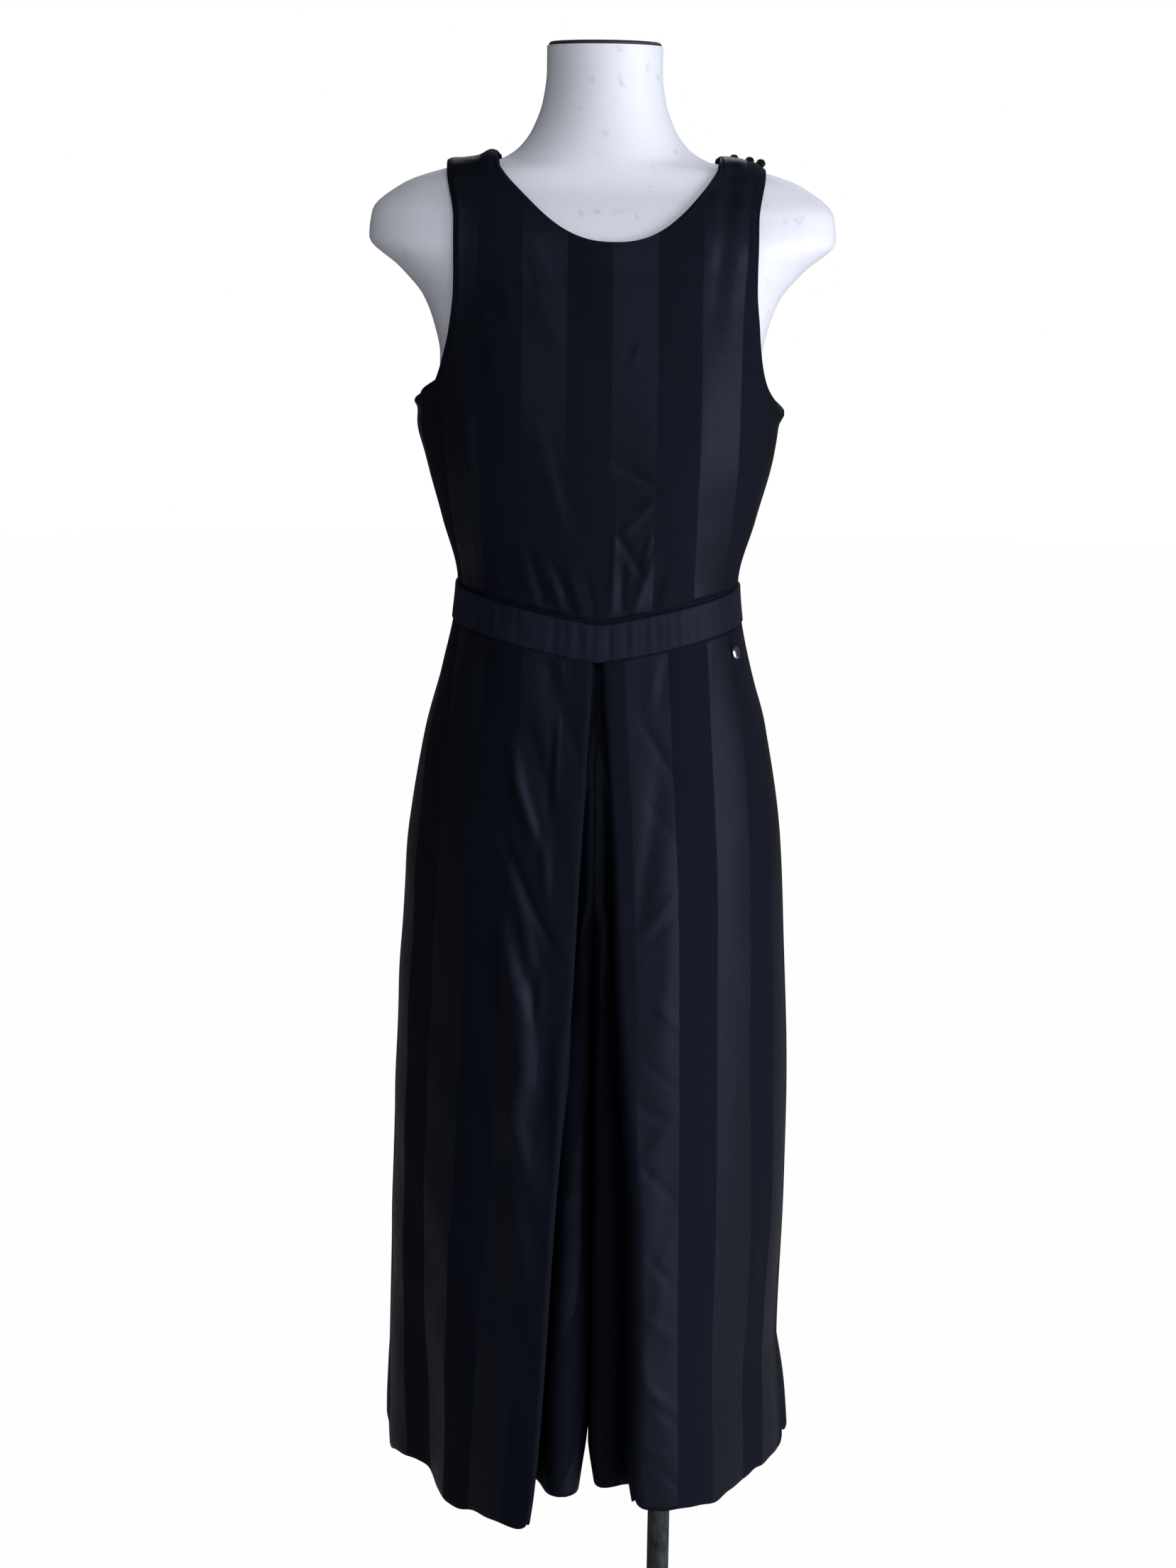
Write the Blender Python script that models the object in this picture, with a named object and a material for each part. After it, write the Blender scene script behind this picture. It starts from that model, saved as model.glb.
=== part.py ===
"""Sleeveless wide-leg jumpsuit worn by a limbless dress form on a pole stand.

Metres, +Z up.  The form faces -Y, so the wearer's left is +X.  The origin is the middle of
the stand's underside, on the pole's axis.  The pole runs up inside the left trouser leg, so
the body's middle plane lies to one side of it.  All garment functions below work in a frame
whose x is measured from the body's middle plane, and the pieces hang from one empty there.
"""
import math

import bmesh
import bpy
import numpy as np
from mathutils import Vector
from mathutils.bvhtree import BVHTree

# Cloth and seams
CLOTH = 0.0015
BAND_CLOTH = 0.0022
PIPING_CLOTH = 0.0028
SEAM = 0.0003
PIPING_HEIGHT = 0.005

# Landmarks of the garment, heights above the floor
SHOULDER_SEAM_INNER = 0.096
SHOULDER_SEAM_OUTER = 0.140
FRONT_NECK_LOW = 1.449
BACK_NECK_LOW = 1.495
NECK_CURVE = 2.4
ARMPIT = 1.300
WAIST_TOP_SIDE = 1.142
WAIST_TOP_POINT = 1.117
WAIST_FOOT_SIDE = 1.108
WAIST_FOOT_POINT = 1.081
CROTCH = 0.785
CROTCH_Y = 0.020
FRONT_RISE_START = 0.865
BACK_RISE_START = 0.865
HEM = 0.272
HEM_WAVE = 0.003
HEM_WAVES = 1.5
STRAP_REST = 0.0018
WAIST_POINT_ROUND = 0.004
BAND_STAND_OUT = 0.0006
PIPING_STAND_OUT = 0.0009

# Where the cloth starts to lift onto the shoulders, and over what height
SHOULDER_LIFT_START = 1.42
SHOULDER_LIFT_RUN = 0.05
RIDGE_SEARCH = (1.46, 1.60)
RIDGE_SEARCH_STEPS = 40

# The pleat, and the inner sides of the legs
PLEAT_EDGE_RADIUS = 0.0025
PLEAT_EDGE_STEPS = 3
PLEAT_TOP_DEPTH = 0.008
PLEAT_OPENING_RUN = 0.020
CENTRE_TURN = 0.006
SHORT_RUN = 0.002
UNDERLAY_SWELL = 0.25
UNDERLAY_BULGE = {"left": 0.0, "right": 0.33}
BULGE_START = 0.07
BACK_TURN = 0.035
BACK_TURN_STEPS = 5
LEG_GAP_HEM = 0.0066
LEG_GAP_START = 0.315
LEG_GAP_RUN = 0.010

# Rows and columns of the cloth grids; a crowd above 1 sets them closer at one end
NECK_COLUMNS = 7
NECK_CROWD = 2.1
STRAP_COLUMNS = 5
EDGE_CROWD = 1.15
SIDE_ROWS = 5
ARMPIT_ROWS = 4
ARMPIT_RUN = 0.042
ARMHOLE_ROWS = 5
ROUND_ROWS = 7
ROUND_RUN = 0.030
ROUND_CROWD = 1.9
LEG_ROWS = 7
HIP_ROWS = 8
HIP_CROWD = 1.35
FACE_COLUMNS = {"front": 11, "back": 9}
INNER_COLUMNS = {"front": 12, "back": 5}
RETURN_COLUMNS = 4
LINE_STEPS = 8
OVAL_STEPS = 40
NEAR = 1e-6

# Dress form and stand
FORM_SEGMENTS = 40
ROUND_SEGMENTS = 28
BASE_SEGMENTS = 48
FORM_FOOT = 0.870
NECK_TOP = 1.617
NECK_CAP_RADIUS = 0.050
NECK_CAP_HEIGHT = 0.003
POLE_OFFSET = 0.074
POLE_RADIUS = 0.011
SOCKET_RADIUS = 0.021
SOCKET_HEIGHT = 0.040
BASE_RADIUS = 0.175
BASE_EDGE = 0.006
BASE_HEIGHT = 0.009
COLLAR_RADIUS = 0.024
COLLAR_HEIGHT = 0.045
COLLAR_FILLET = 0.006
SOFT_EDGE = 0.002
BORE_OVERRUN = 0.010

# Small hard pieces
BUTTON_RADIUS = 0.0042
BUTTON_PLACES = (0.1165, 0.1305, 0.1405)
BUTTON_FOOT_TURN = -math.pi / 3
BUTTON_CROWN_TURN = math.pi * 0.46
BUTTON_STEPS = 6
BUTTON_SEGMENTS = 12
BUTTON_LIFT = 0.0004
STUD_RADIUS = 0.006
STUD_HEIGHT = 0.0028
STUD_RIM = 0.35
STUD_STEPS = 6
STUD_SEGMENTS = 20
STUD_ACROSS = 0.1256
STUD_UP = 1.083
STUD_LIFT = 0.0006

# Angles in degrees up to which neighbouring faces are shaded as one smooth face
CLOTH_SMOOTH = 80
FORM_SMOOTH = 60
HARD_SMOOTH = 40

# Finishes: linear colour, roughness, metallic, sheen
FINISHES = {
    "cloth": ((0.012, 0.013, 0.018), 0.7, 0.0, 0.3),
    "band": ((0.014, 0.015, 0.020), 0.7, 0.0, 0.3),
    "piping": ((0.008, 0.008, 0.011), 0.75, 0.0, 0.0),
    "form": ((0.78, 0.78, 0.80), 0.35, 0.0, 0.0),
    "neck": ((0.02, 0.02, 0.022), 0.6, 0.0, 0.0),
    "pole": ((0.03, 0.03, 0.033), 0.35, 0.6, 0.0),
    "base": ((0.03, 0.03, 0.033), 0.4, 0.5, 0.0),
    "socket": ((0.12, 0.12, 0.125), 0.4, 0.9, 0.0),
    "jet": ((0.006, 0.006, 0.007), 0.15, 0.0, 0.0),
    "silver": ((0.62, 0.62, 0.64), 0.22, 1.0, 0.0),
}


class Table:
    """Sizes in rows; the first column is the key, and at() reads another one between rows."""

    def __init__(self, columns, rows):
        self.keys = np.array([row[0] for row in rows])
        self.values = {name: np.array([row[i] for row in rows]) for i, name in enumerate(columns)}

    def at(self, column, key):
        """Value on a smooth curve through the rows that never overshoots them."""
        values = self.values[column]
        step = np.diff(self.keys)
        slope = np.diff(values) / step
        tangent = np.zeros(len(values))
        for i in range(1, len(values) - 1):
            if slope[i - 1] * slope[i] > 0:
                tangent[i] = 2 * slope[i - 1] * slope[i] / (slope[i - 1] + slope[i])
        tangent[0] = slope[0]
        tangent[-1] = slope[-1]
        row = int(np.clip(np.searchsorted(self.keys, key) - 1, 0, len(step) - 1))
        t = min(max((key - self.keys[row]) / step[row], 0.0), 1.0)
        start = (1 + 2 * t) * (1 - t) ** 2 * values[row]
        start += t * (1 - t) ** 2 * step[row] * tangent[row]
        end = t * t * (3 - 2 * t) * values[row + 1]
        end += t * t * (t - 1) * step[row] * tangent[row + 1]
        return float(start + end)


FORM = Table(
    ("height", "half_width", "front", "back", "roundness"),
    (
        (0.870, 0.142, 0.080, 0.090, 2.3),
        (0.876, 0.154, 0.092, 0.104, 2.3),
        (0.893, 0.160, 0.099, 0.111, 2.3),
        (0.925, 0.162, 0.102, 0.114, 2.3),
        (0.960, 0.158, 0.102, 0.112, 2.3),
        (1.010, 0.146, 0.099, 0.099, 2.3),
        (1.060, 0.131, 0.094, 0.087, 2.3),
        (1.100, 0.121, 0.090, 0.080, 2.3),
        (1.140, 0.117, 0.088, 0.078, 2.3),
        (1.200, 0.129, 0.095, 0.084, 2.4),
        (1.260, 0.142, 0.107, 0.090, 2.5),
        (1.300, 0.147, 0.108, 0.094, 2.5),
        (1.347, 0.146, 0.104, 0.097, 2.4),
        (1.372, 0.151, 0.100, 0.098, 2.3),
        (1.398, 0.161, 0.095, 0.098, 2.2),
        (1.423, 0.182, 0.089, 0.096, 2.2),
        (1.450, 0.210, 0.082, 0.090, 2.2),
        (1.473, 0.207, 0.070, 0.080, 2.2),
        (1.497, 0.179, 0.055, 0.062, 2.1),
        (1.511, 0.138, 0.051, 0.055, 2.0),
        (1.518, 0.094, 0.050, 0.053, 2.0),
        (1.531, 0.074, 0.050, 0.051, 2.0),
        (1.547, 0.063, 0.050, 0.050, 2.0),
        (1.571, 0.0545, 0.050, 0.049, 2.0),
        (1.596, 0.0515, 0.050, 0.049, 2.0),
        (1.617, 0.0515, 0.050, 0.049, 2.0),
    ),
)

EASE = Table(
    ("height", "side", "front", "back"),
    (
        (1.060, 0.0120, 0.0120, 0.0120),
        (1.140, 0.0120, 0.0130, 0.0110),
        (1.200, 0.0145, 0.0180, 0.0140),
        (1.260, 0.0165, 0.0190, 0.0140),
        (1.300, 0.0155, 0.0180, 0.0110),
        (1.347, 0.0200, 0.0150, 0.0080),
        (1.380, 0.0165, 0.0110, 0.0060),
        (1.410, 0.0110, 0.0070, 0.0045),
        (1.430, 0.0060, 0.0045, 0.0030),
        (1.450, 0.0028, 0.0042, 0.0036),
        (1.480, 0.0022, 0.0036, 0.0038),
        (1.505, STRAP_REST, 0.0036, 0.0026),
        (1.520, STRAP_REST, 0.0030, 0.0022),
        (1.540, STRAP_REST, STRAP_REST, STRAP_REST),
    ),
)

ARMHOLE = Table(
    ("height", "reach"),
    (
        (1.3000, 0.1625),
        (1.3026, 0.1614),
        (1.3105, 0.1560),
        (1.3236, 0.1478),
        (1.3420, 0.1415),
        (1.374, 0.1350),
        (1.412, 0.1315),
        (1.467, 0.1320),
        (1.513, SHOULDER_SEAM_OUTER),
        (1.540, SHOULDER_SEAM_OUTER),
    ),
)

# The upper bodice hangs a little towards the wearer's left, its neckline more than its armholes
DRIFT = Table(
    ("across", "drift"),
    (
        (-0.140, 0.0012),
        (-0.096, 0.0004),
        (-0.070, 0.0040),
        (0.000, 0.0100),
        (0.060, 0.0108),
        (0.096, 0.0084),
        (0.140, 0.0040),
    ),
)
DRIFT_START = 1.32
DRIFT_RUN = 0.065

LEG_COLUMNS = (
    "height", "half_width", "front", "back", "front_round", "back_round",
    "pleat_edge", "pleat_depth", "tuck",
)
LEG_RIGHT = Table(
    LEG_COLUMNS,
    (
        (0.260, 0.1955, 0.204, 0.138, 1.66, 2.50, 0.056, 0.118, 0.010),
        (0.310, 0.1970, 0.197, 0.137, 1.70, 2.45, 0.049, 0.109, 0.010),
        (0.400, 0.1950, 0.183, 0.135, 1.82, 2.30, 0.042, 0.096, 0.009),
        (0.550, 0.1915, 0.168, 0.132, 1.95, 2.15, 0.034, 0.079, 0.008),
        (0.700, 0.1865, 0.160, 0.130, 2.05, 2.10, 0.024, 0.060, 0.006),
        (0.800, 0.1815, 0.153, 0.132, 2.15, 2.15, 0.018, 0.048, 0.005),
        (0.900, 0.1750, 0.146, 0.138, 2.20, 2.20, 0.0135, 0.034, 0.003),
        (1.000, 0.1590, 0.128, 0.127, 2.25, 2.25, 0.0080, 0.018, 0.001),
        (1.058, 0.1435, 0.1135, 0.107, 2.30, 2.30, 0.0055, 0.010, 0.0),
        (1.085, 0.1370, 0.1060, 0.0975, 2.30, 2.30, 0.0050, PLEAT_TOP_DEPTH, 0.0),
        (1.115, 0.1312, 0.1000, 0.0925, 2.30, 2.30, 0.0050, PLEAT_TOP_DEPTH, 0.0),
    ),
)

LEG_LEFT = Table(
    LEG_COLUMNS,
    (
        (0.260, 0.1960, 0.155, 0.138, 2.20, 2.50, 0.047, 0.064, 0.008),
        (0.310, 0.1940, 0.156, 0.137, 2.15, 2.45, 0.040, 0.062, 0.008),
        (0.400, 0.1865, 0.158, 0.135, 2.05, 2.25, 0.039, 0.062, 0.008),
        (0.550, 0.1890, 0.158, 0.132, 2.00, 2.10, 0.036, 0.060, 0.007),
        (0.700, 0.1865, 0.155, 0.130, 2.05, 2.05, 0.026, 0.052, 0.006),
        (0.800, 0.1815, 0.151, 0.132, 2.15, 2.15, 0.020, 0.044, 0.005),
        (0.900, 0.1750, 0.146, 0.138, 2.20, 2.20, 0.0175, 0.033, 0.003),
        (1.000, 0.1590, 0.128, 0.127, 2.25, 2.25, 0.0110, 0.018, 0.001),
        (1.058, 0.1435, 0.1135, 0.107, 2.30, 2.30, 0.0065, 0.010, 0.0),
        (1.085, 0.1370, 0.1060, 0.0975, 2.30, 2.30, 0.0055, PLEAT_TOP_DEPTH, 0.0),
        (1.115, 0.1312, 0.1000, 0.0925, 2.30, 2.30, 0.0055, PLEAT_TOP_DEPTH, 0.0),
    ),
)

LEGS = {"left": (1, LEG_LEFT), "right": (-1, LEG_RIGHT)}

# Share of a panel's width over which a fold dies out at each side
FOLD_FADE = 0.08

# Large hanging folds.  Across runs from the side seam (0) to the pleat edge or the seat seam
# (1); depth is outward; the fold is strongest at the hem and gone at its top height.
FOLD_COLUMNS = ("panel", "leg", "across", "depth", "width", "top")
FOLDS = (
    ("front", "right", 0.38, -0.016, 0.17, 0.62),
    ("front", "left", 0.23, -0.011, 0.18, 0.60),
    ("front", "left", 0.45, -0.011, 0.19, 0.68),
    ("back", "right", 0.20, 0.006, 0.10, 0.45),
    ("back", "right", 0.30, 0.014, 0.12, 0.78),
    ("back", "right", 0.55, -0.010, 0.11, 0.85),
    ("back", "right", 0.80, 0.010, 0.10, 0.70),
    ("back", "left", 0.16, 0.007, 0.10, 0.42),
    ("back", "left", 0.26, 0.008, 0.12, 0.70),
    ("back", "left", 0.50, -0.010, 0.12, 0.85),
    ("back", "left", 0.76, 0.012, 0.11, 0.75),
)


# ---- small tools ---------------------------------------------------------------------------

def clear_scene():
    for old in list(bpy.data.objects):
        bpy.data.objects.remove(old, do_unlink=True)


def material(name, finish):
    color, roughness, metallic, sheen = FINISHES[finish]
    made = bpy.data.materials.new(name)
    made.use_nodes = True
    shader = made.node_tree.nodes["Principled BSDF"]
    shader.inputs["Base Color"].default_value = (*color, 1.0)
    shader.inputs["Roughness"].default_value = roughness
    shader.inputs["Metallic"].default_value = metallic
    shader.inputs["Sheen Weight"].default_value = sheen
    return made


def finish_object(name, bm, surface, parent, smooth_angle=HARD_SMOOTH):
    """Turns a bmesh into a named object with its own material, faces out, shaded smooth."""
    bmesh.ops.recalc_face_normals(bm, faces=bm.faces[:])
    if bm.calc_volume(signed=True) < 0:
        bmesh.ops.reverse_faces(bm, faces=bm.faces[:])
    mesh = bpy.data.meshes.new(name)
    bm.to_mesh(mesh)
    bm.free()
    mesh.materials.append(surface)
    mesh.shade_smooth()
    mesh.set_sharp_from_angle(angle=math.radians(smooth_angle))
    made = bpy.data.objects.new(name, mesh)
    bpy.context.scene.collection.objects.link(made)
    made.parent = parent
    return made


def ease_in_out(t):
    t = min(max(t, 0.0), 1.0)
    return t * t * (3 - 2 * t)


def resample(points, count):
    """Spaces count + 1 points evenly along a polyline."""
    points = np.array(points)
    run = np.concatenate(([0.0], np.cumsum(np.linalg.norm(np.diff(points, axis=0), axis=1))))
    marks = np.linspace(0.0, run[-1], count + 1)
    return np.column_stack([np.interp(marks, run, points[:, axis]) for axis in range(2)])


def smooth_line(points):
    """Rounds a polyline into a curve through its points."""
    points = [np.array(point, dtype=float) for point in points]
    padded = [2 * points[0] - points[1], *points, 2 * points[-1] - points[-2]]
    line = []
    for before, here, there, after in zip(padded, padded[1:], padded[2:], padded[3:]):
        for step in range(LINE_STEPS):
            t = step / LINE_STEPS
            cubic = 2 * here + (there - before) * t
            cubic = cubic + (2 * before - 5 * here + 4 * there - after) * t * t
            cubic = cubic + (3 * here - before - 3 * there + after) * t ** 3
            line.append(cubic / 2)
    line.append(points[-1])
    return line


def grid_normals(middle):
    """Unit normals of a grid of points, from the steps along its rows and columns."""
    along = np.gradient(middle, axis=1)
    up = np.gradient(middle, axis=0)
    normals = np.cross(along, up)
    return normals / np.linalg.norm(normals, axis=2, keepdims=True)


def flatten(normals, where, axis):
    """Keeps the normals of an edge inside the plane of its seam."""
    normals[where + (axis,)] = 0.0
    length = np.linalg.norm(normals[where], axis=-1, keepdims=True)
    normals[where] = normals[where] / length


def wall(middle, normals, thickness):
    """A closed cloth wall: a grid moved out to one face, then extruded to the other."""
    rows, columns = middle.shape[:2]
    bm = bmesh.new()
    bmesh.ops.create_grid(bm, x_segments=columns - 1, y_segments=rows - 1, size=0.5)
    place = bm.verts.layers.int.new("place")
    for number, vert in enumerate(bm.verts):
        vert[place] = number
    outer = middle + normals * thickness / 2
    inner = middle - normals * thickness / 2
    grown = bmesh.ops.extrude_face_region(bm, geom=bm.faces[:])
    new_verts = {item for item in grown["geom"] if isinstance(item, bmesh.types.BMVert)}
    for vert in bm.verts:
        row, column = divmod(vert[place], columns)
        face = inner if vert in new_verts else outer
        vert.co = face[row, column]
    return bm


def grow(bm, cap):
    """Extrudes a cap face and returns the new cap; a cap that has walls below is opened."""
    walled = all(len(edge.link_faces) > 1 for edge in cap.edges)
    grown = bmesh.ops.extrude_face_region(bm, geom=[cap])["geom"]
    if walled:
        bmesh.ops.delete(bm, geom=[cap], context="FACES_ONLY")
    return next(item for item in grown if isinstance(item, bmesh.types.BMFace))


def turned(profile, segments):
    """A closed turned body: a disc at the first radius, extruded up ring by ring."""
    bm = bmesh.new()
    radius, height = profile[0]
    bmesh.ops.create_circle(bm, cap_ends=True, segments=segments, radius=radius)
    for vert in bm.verts:
        vert.co.z = height
    cap = bm.faces[:][0]
    for radius, height in profile[1:]:
        cap = grow(bm, cap)
        for vert in cap.verts:
            scale = radius / math.hypot(vert.co.x, vert.co.y)
            vert.co = (vert.co.x * scale, vert.co.y * scale, height)
    return bm


# ---- the body and its clothing surface -------------------------------------------------------

def form_size(column, height):
    return FORM.at(column, height)


def shell_size(column, height):
    """Middle of the bodice cloth: the form's size plus the ease, shifted up on the shoulders."""
    ease_column = {"half_width": "side", "front": "front", "back": "back"}[column]
    ease = EASE.at(ease_column, height)
    lift = STRAP_REST * ease_in_out((height - SHOULDER_LIFT_START) / SHOULDER_LIFT_RUN)
    return form_size(column, height - lift) + ease


def shell_depth(face, across, height):
    """Distance of the bodice cloth from the body's side plane, at a place across the body."""
    half = shell_size("half_width", height)
    power = form_size("roundness", height)
    inside = max(0.0, 1 - min(abs(across) / half, 1.0) ** power)
    return shell_size(face, height) * inside ** (1 / power)


def ridge_height(across):
    """Height of the shoulder's top at a place across the body."""
    low, high = RIDGE_SEARCH
    for _ in range(RIDGE_SEARCH_STEPS):
        middle = (low + high) / 2
        if shell_size("half_width", middle) > abs(across):
            low = middle
        else:
            high = middle
    return low


def waist_line(face, line, share):
    """Height of a waist seam at a share of the half width; only the front dips to a point."""
    side, point = {
        "top": (WAIST_TOP_SIDE, WAIST_TOP_POINT),
        "foot": (WAIST_FOOT_SIDE, WAIST_FOOT_POINT),
    }[line]
    if face == "back":
        return side
    rounded = math.sqrt(share ** 2 + WAIST_POINT_ROUND) / math.sqrt(1 + WAIST_POINT_ROUND)
    return point + (side - point) * rounded


# ---- bodice ----------------------------------------------------------------------------------

def bodice_spreads(level):
    """Column places from side to side at a level, with one on each inner corner of the straps.

    The columns between the straps crowd towards the corners at the neckline, which runs up
    over the shoulders there.
    """
    corner = SHOULDER_SEAM_INNER / SHOULDER_SEAM_OUTER
    inner = []
    for step in range(NECK_COLUMNS + 1):
        even = step / NECK_COLUMNS
        crowded = 1 - (1 - even) ** NECK_CROWD
        inner.append(corner * (even + (crowded - even) * level ** 2))
    start = math.asin(corner ** EDGE_CROWD)
    outer = []
    for step in range(1, STRAP_COLUMNS + 1):
        turn = start + (math.pi / 2 - start) * step / STRAP_COLUMNS
        outer.append(math.sin(turn) ** (1 / EDGE_CROWD))
    half = inner + outer
    return [-spread for spread in reversed(half[1:])] + half


def bodice_levels():
    """Row places along the side seam, the armhole and the shoulder's round, from 0 to 1."""
    foot = WAIST_TOP_SIDE + SEAM
    top = ridge_height(SHOULDER_SEAM_OUTER)
    upright_start = ARMPIT + ARMPIT_RUN
    upright = top - ROUND_RUN - upright_start
    heights = [foot + (ARMPIT - foot) * step / SIDE_ROWS for step in range(SIDE_ROWS)]
    heights += [ARMPIT + ARMPIT_RUN * (step / ARMPIT_ROWS) ** 2 for step in range(ARMPIT_ROWS)]
    heights += [upright_start + upright * step / ARMHOLE_ROWS for step in range(ARMHOLE_ROWS)]
    for step in range(ROUND_ROWS + 1):
        heights.append(top - ROUND_RUN * (1 - step / ROUND_ROWS) ** ROUND_CROWD)
    return [(height - foot) / (top - foot) for height in heights]


def bodice_edge(height):
    """Reach of the panel's edge: the side seam up to the armpit, the armhole above it."""
    if height <= ARMPIT + NEAR:
        return shell_size("half_width", height)
    return ARMHOLE.at("reach", height)


def drifted(across, height):
    """A place across the panel, moved sideways with the upper bodice's drift."""
    return across + DRIFT.at("drift", across) * ease_in_out((height - DRIFT_START) / DRIFT_RUN)


def bodice_top(face, spread):
    """Top edge of a bodice panel: the neckline between the straps, the shoulder seam on them."""
    corner = SHOULDER_SEAM_INNER / SHOULDER_SEAM_OUTER
    share = min(abs(spread) / corner, 1.0)
    seam = spread if share > 1 - NEAR else math.copysign(corner, spread)
    high = ridge_height(drifted(seam * SHOULDER_SEAM_OUTER, RIDGE_SEARCH[1]))
    low = FRONT_NECK_LOW if face == "front" else BACK_NECK_LOW
    return low + (high - low) * share ** NECK_CURVE


def bodice_panel(face):
    toward = -1 if face == "front" else 1
    top_spreads = bodice_spreads(1.0)
    foot_spreads = bodice_spreads(0.0)
    levels = bodice_levels()
    middle = np.zeros((len(levels), len(top_spreads), 3))
    for row, level in enumerate(levels):
        for column, spread in enumerate(bodice_spreads(level)):
            foot = waist_line(face, "top", abs(foot_spreads[column])) + SEAM
            top = bodice_top(face, top_spreads[column])
            height = foot + (top - foot) * level
            across = drifted(spread * bodice_edge(height), height)
            depth = shell_depth(face, across, height) + SEAM / 2
            middle[row, column] = (across, toward * depth, height)
    normals = grid_normals(middle) * -toward
    side_rows = [row for row in range(len(levels)) if middle[row, 0, 2] <= ARMPIT + NEAR]
    corner = SHOULDER_SEAM_INNER / SHOULDER_SEAM_OUTER
    strap = [column for column, spread in enumerate(top_spreads) if abs(spread) > corner - NEAR]
    for column in (0, len(top_spreads) - 1):
        flatten(normals, (np.array(side_rows), column), 1)
    flatten(normals, (len(levels) - 1, np.array(strap)), 1)
    flatten(normals, (0, slice(None)), 2)
    return middle, normals


# ---- waistband and piping ----------------------------------------------------------------------

def band_panel(face, upper, lower, stand_out):
    """A strip round half the waist between two heights, given by the share of its half width.

    Its columns are those of the bodice's foot, so the neighbours' edges run side by side.
    """
    toward = -1 if face == "front" else 1
    shares = bodice_spreads(0.0)
    power = form_size("roundness", WAIST_TOP_SIDE)
    middle = np.zeros((2, len(shares), 3))
    for column, share in enumerate(shares):
        for row, edge in enumerate((lower, upper)):
            height = edge(abs(share))
            half = shell_size("half_width", height) + stand_out
            inside = max(0.0, 1 - abs(share) ** power) ** (1 / power)
            depth = (shell_size(face, height) + stand_out) * inside
            middle[row, column] = (half * share, toward * (depth + SEAM / 2), height)
    normals = grid_normals(middle) * -toward
    normals[:, :, 2] = 0.0
    normals /= np.linalg.norm(normals, axis=2, keepdims=True)
    for column in (0, len(shares) - 1):
        flatten(normals, (slice(None), column), 1)
    return middle, normals


def waistband_panel(face):
    return band_panel(
        face,
        lambda share: waist_line(face, "top", share) - PIPING_HEIGHT - SEAM,
        lambda share: waist_line(face, "foot", share),
        BAND_STAND_OUT,
    )


def piping_panel(face):
    return band_panel(
        face,
        lambda share: waist_line(face, "top", share),
        lambda share: waist_line(face, "top", share) - PIPING_HEIGHT,
        PIPING_STAND_OUT,
    )


# ---- trousers ------------------------------------------------------------------------------------

def rise(height, start_height, start_y):
    """Depth of the seat seam: a quarter oval from its upright start in to the crotch."""
    fallen = min(max((start_height - height) / (start_height - CROTCH), 0.0), 1.0)
    return CROTCH_Y + (start_y - CROTCH_Y) * math.sqrt(1 - fallen ** 2)


def run_place(run, height):
    """How far the inner leg's cloth stays from the body's middle plane."""
    away = SEAM / 2 + CLOTH / 2 * ease_in_out(run / LEG_GAP_RUN)
    below = max(0.0, (LEG_GAP_START - height) / (LEG_GAP_START - HEM))
    return away + LEG_GAP_HEM * below


def oval_run(half_width, depth, power, stop_across):
    """Points of an oval from the side seam to the place where it is stop_across wide."""
    last = math.acos(min(1.0, (stop_across / half_width)) ** (power / 2))
    line = []
    for step in range(OVAL_STEPS + 1):
        turn = last * step / OVAL_STEPS
        across = half_width * math.cos(turn) ** (2 / power)
        line.append((across, depth * math.sin(turn) ** (2 / power)))
    return line


def front_section(leg, height):
    """Front panel's section: face to the pleat edge, pleat return, and underlay with its run."""
    _, sizes = LEGS[leg]
    edge = sizes.at("pleat_edge", height)
    radius = PLEAT_EDGE_RADIUS
    outline = oval_run(
        sizes.at("half_width", height),
        sizes.at("front", height),
        sizes.at("front_round", height),
        edge + radius,
    )
    face = [(across, -depth) for across, depth in outline]
    face_y = face[-1][1]
    for step in range(1, PLEAT_EDGE_STEPS + 1):
        turn = math.pi / 4 * step / PLEAT_EDGE_STEPS
        face.append((edge + radius - radius * math.sin(turn), face_y + radius * (1 - math.cos(turn))))
    depth = sizes.at("pleat_depth", height)
    tuck = sizes.at("tuck", height)
    corner_y = face_y + depth
    under_y = corner_y - UNDERLAY_SWELL * max(0.0, depth - 0.02)
    under_y -= UNDERLAY_BULGE[leg] * max(0.0, depth - BULGE_START)
    end_y = max(rise(height, FRONT_RISE_START, under_y), under_y)
    run = end_y - under_y
    inner = run_place(run, height)
    turn = min(CENTRE_TURN, run)
    opened = ease_in_out((depth - PLEAT_TOP_DEPTH) / PLEAT_OPENING_RUN)
    behind = [
        face[-1],
        (edge * (0.97 + 0.03 * opened), face_y + min(0.3 * depth, 2 * radius)),
        (edge * (0.86 + 0.14 * opened) + tuck * 0.7, face_y + (0.52 + 0.08 * opened) * depth),
        (edge * (0.62 + 0.33 * opened) + tuck * 0.5, face_y + (0.82 + 0.18 * opened) * depth),
        (inner + turn + (edge - inner - turn) * (0.3 + 0.15 * opened), under_y),
        (inner + turn * 0.6, under_y + turn * 0.2),
    ]
    if run > SHORT_RUN:
        behind.append((inner, under_y + max(turn, run * 0.3)))
    behind.append((inner, end_y if run > SHORT_RUN else under_y))
    behind = smooth_line(behind)
    corner = 3 * LINE_STEPS
    return face, behind[:corner + 1], behind[corner:], run


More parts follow.
